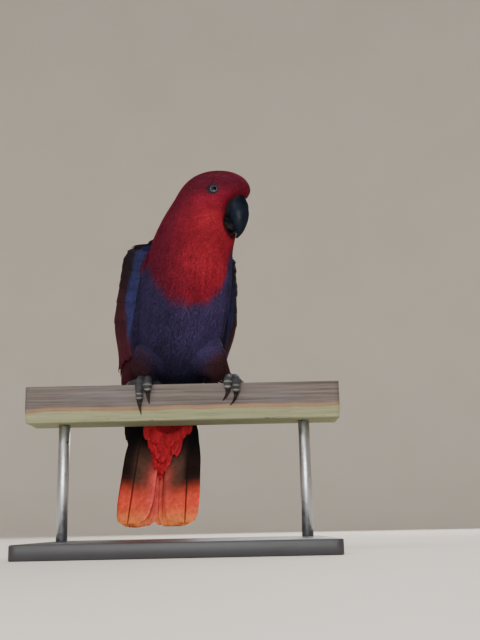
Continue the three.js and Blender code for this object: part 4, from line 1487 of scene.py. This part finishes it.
def add_tail():
    vanes = Vanes(rows=26)
    for name, side in SIDES.items():
        for i, (tip_across, end, inner, outer) in enumerate(TAIL_FEATHERS):
            root_across = mix(*TAIL_ROOT_ACROSS[name], i / (len(TAIL_FEATHERS) - 1))
            layer = TAIL["layer"] * (i + (0 if side > 0 else 0.5))

            def place(across, along, lift):
                share = np.clip((along - TAIL["root"]) / (end - TAIL["root"]), 0, 1)
                middle = side * mix(root_across, tip_across, share ** TAIL["fanning"])
                return tail_place(middle + across, along, lift)

            wide = (inner, outer) if side > 0 else (outer, inner)
            root = (0, TAIL["root"])
            tip = (0, end + rng.normal(0, 0.3))
            surfaces = vane(
                place, root, tip, wide, ((0, layer), (1, layer)), 0, vanes.rows,
                camber=0.2, outline=BROAD_TIP, split=0.02,
            )
            across, _, along = BODY.of(surfaces)
            tone = rng.uniform(0.92, 1.08)
            top = tail_top_colour(along[0]) * tone
            under = tail_under_colour(across[1] - TAIL["sideways"], along[1]) * tone
            vanes.add(surfaces, np.stack([top, under]))
    piece = vanes.piece("tail_vanes", tail_vane_paint, "tail_feathers")
    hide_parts("tail")


# Loose feathers over the tail's root: rows below it, red, and above it, maroon red
TAIL_COVERTS = (
    {"count": 30, "wide": 9, "tips": 5, "root": (158, 178), "end": 208, "lift": -9.6, "half": 3.2},
    {"count": 44, "wide": 17, "tips": 12, "root": (150, 170), "end": 196, "lift": -10.8, "half": 3.2},
    {"count": 44, "wide": 21, "tips": 19, "root": (140, 158), "end": 181, "lift": -12.0, "half": 3.2},
    {"count": 22, "wide": 14, "tips": 15, "root": (152, 164), "end": 196, "lift": 1.6, "half": 4.6},
    {"count": 26, "wide": 16, "tips": 15, "root": (144, 154), "end": 180, "lift": 2.8, "half": 4.6},
)
UNDER_ASIDE = -1.8
UNDER_COVERT_RED = linear("ac242e")
TOP_COVERT_RED = linear("7a1d24")


def add_tail_coverts():
    vanes = Vanes(rows=9)
    for row in TAIL_COVERTS:
        outer = np.sign(row["lift"])
        red, aside = (UNDER_COVERT_RED, UNDER_ASIDE) if outer < 0 else (TOP_COVERT_RED, 0)
        for i in range(row["count"]):
            spot = 2 * (i + rng.uniform(0.1, 0.9)) / row["count"] - 1
            start = mix(*row["root"], rng.random())
            end = row["end"] - 10 * abs(spot) + rng.normal(0, 2)
            root = (row["wide"] * spot + aside, start)
            tip = (row["tips"] * spot + aside + rng.normal(0, 1), end)
            lift = row["lift"] + rng.uniform(-0.5, 0.5)
            lifts = ((0, lift - 3.2 * outer), (0.3, lift - 0.6 * outer), (1, lift))
            half = row["half"] * rng.uniform(0.8, 1.15)
            tilt = rng.uniform(-0.5, 0.5)
            surfaces = vane(tail_place, root, tip, (half, half), lifts, tilt, vanes.rows, split=0.14)
            shares = vane_grid(vanes.rows)
            tone = rng.uniform(0.8, 1.15) * (0.75 + 0.3 * shares)[..., None]
            vanes.add(surfaces, np.stack([red * tone, red * tone]))
    vanes.piece("tail_coverts", wing_vane_paint, "tail_feathers")


# Legs and feet

# Where a foot and its knee are, and how its front claws lean. For the outer and the inner toes:
# how far the front one hangs over the rail, and how far aside and behind the back one reaches.
FEET = {
    "right": {
        "x": -33.5, "knee": -33, "lean": 1.5, "drops": (14, 6.5), "backs": ((17, 14), (15, 12)),
    },
    "left": {
        "x": 43.5, "knee": 27, "lean": -6.5, "drops": (8.5, 5.5), "backs": ((8, 19), (9, 17)),
    },
}
PALM = {"y": -8, "up": 4.8, "radius": 5.6}
TARSUS_RADIUS = 4.2
THIGH_RADII = (16.5, 15, 11.8, 8.4)
FRONT_TOE_RADII = (4.3, 3.9, 3.7, 3.6, 3.4, 2.8)
BACK_TOE_RADII = (4.3, 3.8, 3.4, 2.8)
TOE_CLEAR = 3.9
RAIL_FRONT = -RAIL["depth"] / 2


def on_rail(x, y, up):
    return np.array([x, y, RAIL["top"] + up])


def thigh_line(foot, side):
    hip = BODY.at(side * 21, -6, 84)
    knee = on_rail(foot["knee"], -7, 20)
    cuff = on_rail(mix(foot["x"], foot["knee"], 0.62), -4, 10.5)
    return np.array([hip, (hip + knee) / 2, knee, cuff])


def tarsus_line(foot):
    return np.array([
        on_rail(foot["x"], PALM["y"], PALM["up"]),
        on_rail(foot["x"], -3.6, 5.7),
        on_rail(foot["x"], 3, 7),
        on_rail(mix(foot["x"], foot["knee"], 0.4), 7, 12),
    ])


def front_toe(foot, sideways, drop):
    front = RAIL_FRONT - TOE_CLEAR
    end = foot["x"] + sideways
    return np.array([
        on_rail(foot["x"], PALM["y"], PALM["up"]),
        on_rail(mix(foot["x"], end, 0.6), mix(PALM["y"], RAIL_FRONT, 0.5), TOE_CLEAR + 0.7),
        on_rail(mix(foot["x"], end, 0.9), RAIL_FRONT + 2.5, TOE_CLEAR + 0.3),
        on_rail(end, front + 1.2, 1.6),
        on_rail(end, front, mix(1.6, -drop, 0.6)),
        on_rail(end, front + 0.7, -drop),
    ])


def back_toe(foot, sideways, reach):
    places = []
    for share in (0, 0.35, 0.75, 1):
        x = foot["x"] + sideways * share ** 0.6
        places.append(on_rail(x, PALM["y"] + reach * share, TOE_CLEAR + mix(0.9, -0.6, share)))
    return np.array(places)


def toes_of(foot, side):
    outer, inner = foot["drops"]
    (outer_side, outer_reach), (inner_side, inner_reach) = foot["backs"]
    return [
        (front_toe(foot, side * 3, outer), FRONT_TOE_RADII),
        (front_toe(foot, -side * 4.2, inner), FRONT_TOE_RADII),
        (back_toe(foot, side * outer_side, outer_reach), BACK_TOE_RADII),
        (back_toe(foot, -side * inner_side, inner_reach), BACK_TOE_RADII),
    ]


CLAW = {"length": 12, "droop": 2, "tip": 0.25, "sunk": -0.06, "slimmer": 0.5}
KNUCKLES = {"swell": 0.07, "count": 3}
TOE_SLIMMER = 0.97


def foot_skin_paint():
    """Grey scaled skin: plates across each toe, small ones beside, pale bands by the claws."""
    paint = Paint("scaled_foot_skin", roughness=0.6, specular=0.2)
    place = paint.place()
    marks = paint.attribute("toe")
    band = paint.axis(marks, "X")
    scutes = paint.axis(marks, "Y")
    small = paint.cells(place, 1000, "DISTANCE_TO_EDGE")
    joints = paint.spread(small, 0.0, 0.13, 1, 0)
    broad = paint.noise(place, 200, 3)
    skin_tone = paint.ramp(broad, (0.3, linear("1c1d20")), (0.7, linear("343438")))
    seams = paint.spread(scutes, 0.0, 1.0, 0, 0.4)
    pale = paint.blend(skin_tone, rgba("545250"), paint.spread(joints * 0.35 + seams * 0.5, 0, 1))
    paint.put("Base Color", paint.blend(pale, rgba("8f8d88"), band))
    paint.put("Normal", paint.bump(joints * -0.4 - seams, 0.6, 0.0005))
    return paint.material


foot_skin = foot_skin_paint()
# A plate's length, and the pale bands' distances from the claw and half widths
SCUTE = 2.1
SEAM = {"half": 0.14, "fades": (17, 22)}
PALE_BANDS = ((1.9, 0.45), (5.2, 0.35))


def toe_marks(points, toes):
    """For each point: how far it is in a pale band, and in a seam between two plates."""
    best = np.full(len(points), 1e9)
    before_claw = np.zeros(len(points))
    for line, _ in toes:
        fine = finer(line, 120)
        places = np.concatenate([[0], np.cumsum(np.linalg.norm(np.diff(fine, axis=0), axis=1))])
        away = np.linalg.norm(points[:, None] - fine[None], axis=-1)
        nearest = away.argmin(axis=1)
        closer = away.min(axis=1) < best
        best = np.where(closer, away.min(axis=1), best)
        before_claw = np.where(closer, places[-1] - places[nearest], before_claw)
    band = sum(np.exp(-((before_claw - place) / wide) ** 2) for place, wide in PALE_BANDS)
    plate = before_claw / SCUTE
    seam = np.exp(-((plate - np.round(plate)) / SEAM["half"]) ** 2)
    seam = seam * (1 - rise(before_claw, *SEAM["fades"]))
    return np.stack([np.clip(band, 0, 1) * 0.7, seam, np.zeros(len(points))], -1)


def add_foot(name):
    """Toes and leg fused into one skin."""
    foot, side = FEET[name], SIDES[name]
    toes = toes_of(foot, side)
    leg_radii = [PALM["radius"]] + [TARSUS_RADIUS] * 15
    parts = [loft(bar(finer(tarsus_line(foot), len(leg_radii)), leg_radii, 20))]
    count = 40
    along = np.linspace(0, 1, count)
    knuckles = 1 + KNUCKLES["swell"] * np.cos(along * 2 * math.pi * KNUCKLES["count"])
    for line, radii in toes:
        toe_radii = finer(np.array(radii)[:, None], count)[:, 0] * knuckles * TOE_SLIMMER
        parts.append(loft(bar(finer(line, count), toe_radii, 24)))
    draft = plain_mesh("foot_draft", *gathered(parts), foot_skin)
    fused = fused_copy(draft, voxel=0.0004, rounds=3)
    points = np.array([v.co for v in fused.vertices]) / MM
    faces = np.array([p.vertices[:] for p in fused.polygons])
    bpy.data.objects.remove(draft)
    piece = mesh_from(
        f"foot_skin_{name}", points, faces, foot_skin,
        colours=toe_marks(points, toes), attribute="toe",
    )
    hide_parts(f"foot_{name}")
    for number, (line, radii) in enumerate(toes, 1):
        add_claw(name, number, line, radii[-1])


def fused_copy(piece, voxel, rounds):
    """The mesh of a piece with its overlapping parts made one skin and smoothed."""
    remesh = piece.modifiers.new("fuse", "REMESH")
    remesh.mode = "VOXEL"
    remesh.voxel_size = voxel
    relax = piece.modifiers.new("relax", "SMOOTH")
    relax.factor = 0.5
    relax.iterations = rounds
    shown = bpy.context.evaluated_depsgraph_get()
    return bpy.data.meshes.new_from_object(piece.evaluated_get(shown))


def add_claw(name, number, line, radius):
    end = line[-1]
    along = unit(end - line[-2])
    lean = FEET[name]["lean"]
    curl = np.array([lean, CLAW["droop"], 0]) if number < 3 else np.array([0, 0, -CLAW["droop"]])
    shares = np.linspace(CLAW["sunk"], 1, 18)
    straight = end + along * (JOIN_GAP + CLAW["length"] * shares)[:, None]
    centres = straight + curl * (shares ** 2)[:, None]
    radii = mix(radius - CLAW["slimmer"], CLAW["tip"], np.clip(shares, 0, 1) ** 0.8)
    points, faces = loft(bar(centres, radii, 16))
    piece = mesh_from(f"claw_horn_{name}_{number}", points, faces, claw_horn)
    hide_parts(f"claw_{name}_{number}")


# How softly a thigh runs into the body, how deep its coat is, how far it may flare out to meet
# the body, and how far its first rings are sunk
THIGH_BLEND = 5
THIGH_COAT = 1.4
THIGH_FLARE = 13
THIGH_SUNK = 7
THIGH_COLUMNS = 48
# The thigh's skin under its tufts is painted darker: painted shade between the tufts
THIGH_SHADE = 0.7
# Tufts to the square millimetre
THIGH_THICKNESS = 1.5


def leg_distance(points, line, radii):
    """Distance to a tapered bar along a line, below 0 inside it."""
    nearest = np.full(points.shape[:-1], 1e9)
    for a, b, first, last in zip(line[:-1], line[1:], radii[:-1], radii[1:]):
        share = np.clip(((points - a) @ (b - a)) / np.dot(b - a, b - a), 0, 1)
        away = np.linalg.norm(points - a - share[..., None] * (b - a), axis=-1)
        nearest = np.minimum(nearest, away - mix(first, last, share))
    return nearest


def leg_and_body(points, line, radii):
    """The leg and the body run into one another."""
    distances = (leg_distance(points, line, radii), body_distance(points))
    both = sum(np.exp(-distance / THIGH_BLEND) for distance in distances)
    return -THIGH_BLEND * np.log(np.maximum(both, 1e-30))


def thigh_grid(line, radii):
    """Rings round the thigh that flare out to meet the body, the first ones sunk into it."""
    ways = bar(line, np.ones(len(line)), THIGH_COLUMNS) - line[:, None, :]
    sunk = 1 - rise(np.linspace(0, 1, len(line)), 0.0, 0.45)
    level = -THIGH_COAT - THIGH_SUNK * sunk[:, None]
    reaches = radii[:, None] * np.ones((1, THIGH_COLUMNS))
    for _ in range(6):
        spots = line[:, None, :] + ways * reaches[..., None]
        reaches = reaches - (leg_and_body(spots, line, radii) - level)
        reaches = np.clip(reaches, radii[:, None] * 0.7, radii[:, None] + THIGH_FLARE)
    return line[:, None, :] + ways * reaches[..., None]


def add_thigh(name):
    """A feathered thigh that runs into the belly, down to the foot."""
    line = finer(thigh_line(FEET[name], SIDES[name]), 40)
    radii = finer(np.array(THIGH_RADII)[:, None], 40)[:, 0]
    grid = thigh_grid(line, radii)
    points, faces = loft(grid)
    # Painted shade on the skin between the tufts
    colours = thigh_colours(points) * THIGH_SHADE
    piece = mesh_from(
        f"thigh_skin_{name}", points, faces, skin_down, colours=colours,
    )
    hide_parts(f"thigh_{name}")
    add_thigh_feathers(name, grid, line, radii)


def add_thigh_feathers(name, grid, line, radii):
    """Tufts over the thigh, fewer where it is inside the body."""
    roots, uv = grid_roots(grid, lambda at: np.full(len(at), THIGH_THICKNESS))
    border = rise(body_distance(roots), -2.2, 1.8)
    keep = (rng.random(len(roots)) < border) & (roots[:, 2] > RAIL["top"] + 3)
    roots, uv = roots[keep], uv[keep]
    row = np.clip((uv[:, 1] * (len(line) - 1)).astype(int), 0, len(line) - 2)
    axis = unit(line[row + 1] - line[row])
    normals = normal_of(lambda at: leg_and_body(at, line, radii), roots, step=0.3)
    on_leg = rise(leg_distance(roots, line, radii), 3, -1)
    fall = unit(mix(BODY.axes[2], axis, on_leg[:, None]))
    fall = unit(fall - normals * dot(fall, normals))
    count = len(roots)
    sway = rng.normal(0, 0.16, (count, 1))
    lies = unit(fall + np.cross(normals, fall) * sway + normals * 0.04)
    lengths = rng.uniform(5, 8, count)
    lifts = rng.uniform(0.6, 1.3, count) * mix(0.4, 1, rise(body_distance(roots), 0, 5))
    widths = rng.uniform(0.6, 0.9, count)
    tufts = over_rail(tuft_points(roots, normals, lies, lengths, widths, lifts))
    colours = thigh_colours(roots) * rng.uniform(0.8, 1.2, (count, 1))
    add_tufts(f"thigh_feathers_{name}", tufts, uv, colours, soft_feathers)


def thigh_colours(points):
    """The belly's colours near the belly, turning to dark brown further out."""
    belly = plumage(points, np.zeros(len(points)))
    height = points[:, 2] - RAIL["top"]
    brown = toward(filled(UMBER, height), MAROON, 0.2 * rise(height, 8, 30))
    return toward(belly, brown, rise(body_distance(points), 0.5, 9))


# Leg ring

def metal_paint(name, colour, rough):
    paint = Paint(name, metallic=1.0, roughness=rough)
    wear = paint.noise(paint.place(), 400, 4)
    dull = linear(colour) * 0.93
    paint.put("Base Color", paint.ramp(wear, (0.35, dull), (0.65, linear(colour))))
    paint.put("Roughness", paint.spread(wear, 0.3, 0.7, rough - 0.05, rough + 0.12))
    return paint.material


# The ring hangs loose, so it sits a little to one side of the leg
RING = {"inner": 5.5, "thick": 1.2, "half": 2.3, "aside": 1.1, "sides": 64}


def add_leg_ring():
    line = tarsus_line(FEET["right"])
    along = unit(line[2] - line[1])
    centre = (line[1] + line[2]) / 2 + (RING["aside"], -0.6, 0.4)
    out, half = RING["thick"], RING["half"]
    profile = ((0, 0.3 - half), (0.25, -half), (out - 0.3, -half), (out, 0.3 - half))
    profile = profile + tuple((reach, -shift) for reach, shift in reversed(profile)) + profile[:1]
    across = unit(np.cross((0, 0, 1), along))
    other = np.cross(along, across)
    x, y = circle(RING["sides"])
    flat = x[:, None] * across + y[:, None] * other
    rows = [centre + along * shift + flat * (RING["inner"] + reach) for reach, shift in profile]
    points, faces = skinned(rows)
    steel = metal_paint("ring_steel", "d8dade", 0.22)
    piece = mesh_from("leg_ring_band", points, faces, steel)
    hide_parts("leg_ring")


# Rail and stand

def eased_outline(corners, ease, steps=6):
    """Points round a flat shape whose corners are rounded, starting so far before each one."""
    corners = np.asarray(corners, float)
    before = unit(np.roll(corners, 1, axis=0) - corners)
    after = unit(np.roll(corners, -1, axis=0) - corners)
    t = np.linspace(0, 1, steps + 1)[:, None]
    bends = [
        corner + ease * (back * (1 - t) ** 2 + ahead * t ** 2)
        for corner, back, ahead in zip(corners, before, after)
    ]
    return np.concatenate(bends)


WOOD_SHADE = 0.58


def wood_paint():
    """Weathered grey-brown board: long grain, a worn tan arris and pale green beneath it."""
    paint = Paint("weathered_rail", roughness=0.85, specular=0.2)
    place = paint.place()
    height = paint.axis(place, "Z")
    grain = paint.noise(paint.stretched(place, (9, 160, 420)), 1, 6, 0.65)
    fine = paint.noise(paint.stretched(place, (30, 900, 1900)), 1, 4, 0.6)
    broad = paint.noise(paint.stretched(place, (14, 30, 60)), 1, 3)
    wander = paint.noise(paint.stretched(place, (40, 10, 10)), 1, 4)
    stops = ((0.3, "5d5350"), (0.45, "7a6f6b"), (0.6, "8b807a"), (0.75, "9d9189"))
    weathered = paint.ramp(grain, *((at, linear(shade)) for at, shade in stops))
    greyer = paint.blend(weathered, rgba("7f7c80"), paint.spread(broad, 0.4, 0.7, 0, 0.5))
    arris = (RAIL["top"] - RAIL["upright"]) * MM
    level = height + 0.004 * wander + 0.0015 * grain - 0.0028
    tan = paint.spread(level, arris + 0.001, arris + 0.0034, 1, 0)
    worn = paint.blend(greyer, rgba("b8926f"), 0.85 * tan)
    beneath = paint.spread(level, arris - 0.0012, arris - 0.0005, 1, 0)
    green = paint.blend(rgba("adb389"), rgba("c3c39c"), paint.spread(grain, 0.35, 0.65))
    specks = paint.spread(paint.noise(paint.stretched(place, (90, 260, 260)), 1, 5, 0.7), 0.6, 0.68)
    low_edge = paint.spread(height, arris - 0.0095, arris - 0.006, 1, 0.15)
    stained = paint.blend(green, rgba("6f6a4a"), specks * low_edge)
    colour = paint.blend(worn, stained, beneath)
    cracks = paint.spread(fine, 0.3, 0.42, 1, 0)
    cracked = paint.blend(colour, rgba("40372f"), 0.5 * cracks)
    paint.put("Base Color", paint.blend(cracked, (*[WOOD_SHADE] * 3, 1), 1.0, "MULTIPLY"))
    paint.put("Normal", paint.bump(grain * 0.7 - cracks * 0.5, 0.5, 0.0007))
    return paint.material


BOARD = {"ease": 1.6, "shorter": 0.2, "rings": 60, "worn": 0.004, "sways": ((0.12, 17), (0.08, 5.3))}


def add_rail():
    """The cut length of rail, with eased edges and sawn ends."""
    back = RAIL["depth"] / 2
    low = RAIL["top"] - RAIL["height"]
    corners = (
        (-back, RAIL["top"]), (-back, RAIL["top"] - RAIL["upright"]), (RAIL["slope"] - back, low),
        (back, low), (back, RAIL["top"]),
    )
    outline = eased_outline(corners, BOARD["ease"])
    rings = []
    for x in np.linspace(-1, 1, BOARD["rings"]) * (RAIL["length"] / 2 - BOARD["shorter"]):
        sway = sum(size * math.sin(x / long) for size, long in BOARD["sways"])
        inset = outline * (1 - BOARD["worn"] * (1 + sway), 1)
        rings.append(np.stack([np.full(len(outline), x), *inset.T], -1))
    points, faces = loft(np.array(rings))
    piece = mesh_from("rail_board", points, faces, wood_paint())
    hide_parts("perch_rail")


def base_paint():
    paint = Paint("stand_base_lacquer", roughness=0.45, specular=0.4)
    grain = paint.noise(paint.place(), 1500, 3)
    broad = paint.noise(paint.place(), 12, 3)
    paint.put("Base Color", paint.ramp(broad, (0.3, linear("2d2d30")), (0.7, linear("353538"))))
    paint.put("Roughness", paint.spread(grain, 0.3, 0.7, 0.4, 0.55))
    paint.put("Normal", paint.bump(grain, 0.15, 0.0002))
    return paint.material


# Up the plate's edge: height, and inset from its full size
BASE_EDGE = ((0.0, 0.8), (0.8, 0.1), (10.8, 0.1), (11.7, 0.5), (12.0, 1.4))
BASE_CORNER = 7
ROD_EASE = 0.5
ROD_SIDES = 40


def add_plate():
    rings = []
    for up, inset in BASE_EDGE:
        wide = BASE["width"] / 2 - inset
        deep = BASE["depth"] / 2 - inset
        corners = ((wide, deep), (-wide, deep), (-wide, -deep), (wide, -deep))
        outline = eased_outline(corners, BASE_CORNER - inset, 8)
        rings.append(np.concatenate([outline, np.full((len(outline), 1), up)], axis=1))
    points, faces = loft(np.array(rings))
    piece = mesh_from("stand_plate", points, faces, base_paint())
    for polygon in piece.data.polygons:
        polygon.use_smooth = abs(polygon.normal.z) < 0.9
    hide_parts("stand_base")


def add_rods():
    steel = metal_paint("rod_steel", "b4b7bc", 0.32)
    low = BASE["height"] + JOIN_GAP
    high = RAIL["top"] - RAIL["height"] - JOIN_GAP
    full = ROD["radius"]
    end = full - ROD_EASE
    profile = ((low, end), (low + ROD_EASE, full), (high - ROD_EASE, full), (high, end))
    x, y = circle(ROD_SIDES)
    for name, side in SIDES.items():
        centre = side * ROD["spacing"] / 2
        rings = [
            np.stack([centre + radius * x, radius * y, np.full(ROD_SIDES, up)], -1)
            for up, radius in profile
        ]
        points, faces = loft(np.array(rings))
        rod = mesh_from(f"stand_post_{name}", points, faces, steel)
        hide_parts(f"stand_rod_{name}")


# Studio: a pale floor that sweeps up all round, soft lights and the camera

CAMERA = {"place": (0.051, -0.750, 0.022), "pitch": math.radians(13.6), "roll": math.radians(1.2)}
SENSOR = 36
# The photo's focal length over its height, both in its own pixels
LENS = SENSOR * 853 / 640
SWEEP = {"flat": 2600, "bend": 900, "height": 4200, "sides": 96}
# Each light's place, size, power and colour. All of them look at the bird's middle.
LIGHTS = {
    "window_light": ((-0.8, -1.0, 1.5), 0.9, 14, (1, 0.98, 0.95)),
    "front_light": ((-0.1, -1.6, 0.2), 1.1, 34, (1, 1, 1)),
    "top_light": ((0.1, 0.3, 1.9), 1.3, 8, (1, 1, 1)),
    "back_fill": ((0.5, 1.7, 1.1), 1.3, 28, (1, 1, 1)),
}
LIT_POINT = (0, 0, 0.2)
ROOM = {"colour": (0.9, 0.93, 1, 1), "strength": 0.5}


def add_floor():
    turns = np.linspace(0, math.pi / 2, 16)
    radii = [0.01, 300, 900, SWEEP["flat"] - 200, *(SWEEP["flat"] + SWEEP["bend"] * np.sin(turns))]
    rises = [0, 0, 0, 0, *(SWEEP["bend"] * (1 - np.cos(turns)))]
    radii.append(radii[-1])
    rises.append(SWEEP["height"])
    sides = SWEEP["sides"]
    x, y = circle(sides)
    rings = [np.stack([r * x, r * y, np.full(sides, up)], -1) for r, up in zip(radii, rises)]
    faces = grid_faces(len(rings), sides, closed=True)
    paint = Paint("studio_floor", roughness=0.8, specular=0.2)
    soft = paint.noise(paint.place(), 3, 2)
    paint.put("Base Color", paint.ramp(soft, (0.3, linear("e2dace")), (0.7, linear("e6ded3"))))
    plain_mesh("studio_floor", np.array(rings).reshape(-1, 3), faces, paint.material)


def add_light(name, place, size, power, colour):
    light = bpy.data.lights.new(name, "AREA")
    light.shape = "DISK"
    light.size = size
    light.energy = power
    light.color = colour
    lamp = bpy.data.objects.new(name, light)
    bpy.context.collection.objects.link(lamp)
    towards = unit(np.array(LIT_POINT, float) - np.array(place, float))
    lamp.location = place
    lamp.rotation_mode = "QUATERNION"
    lamp.rotation_quaternion = Matrix(look_axes(towards)).to_quaternion()


def look_axes(towards):
    """Rows of a turn whose -Z looks along a direction, with +Y as near up as it can be."""
    right = unit(np.cross(towards, (0, 0, 1)))
    up = np.cross(right, towards)
    return np.stack([right, up, -towards], -1).tolist()


def add_lights():
    for name, light in LIGHTS.items():
        add_light(name, *light)
    world = bpy.data.worlds.new("soft_room")
    world.use_nodes = True
    background = world.node_tree.nodes["Background"].inputs
    background["Color"].default_value = ROOM["colour"]
    background["Strength"].default_value = ROOM["strength"]
    bpy.context.scene.world = world


def add_camera():
    camera = bpy.data.cameras.new("photo_camera")
    camera.lens = LENS
    camera.sensor_width = SENSOR
    camera.clip_start = 0.01
    camera.clip_end = 50
    holder = bpy.data.objects.new("photo_camera", camera)
    bpy.context.collection.objects.link(holder)
    pitch_cos, pitch_sin = turned(CAMERA["pitch"])
    roll_cos, roll_sin = turned(CAMERA["roll"])
    right = np.array([1.0, 0, 0])
    ahead = np.array([0, pitch_cos, pitch_sin])
    up = np.cross(right, ahead)
    rolled_right = right * roll_cos - up * roll_sin
    rolled_up = right * roll_sin + up * roll_cos
    turn = Matrix(np.stack([rolled_right, rolled_up, -ahead], -1).tolist()).to_4x4()
    turn.translation = CAMERA["place"]
    holder.matrix_world = turn
    bpy.context.scene.camera = holder


add_floor()
add_lights()
add_camera()
add_skin()
add_small_feathers()
add_bill()
add_collar()
add_eyes()
for wing_name in SIDES:
    add_wing(wing_name)
    add_wing_fringe(wing_name)
    add_mantle(wing_name)
add_tail()
add_tail_coverts()
for leg_name in SIDES:
    add_thigh(leg_name)
    add_foot(leg_name)
add_leg_ring()
add_rail()
add_plate()
add_rods()
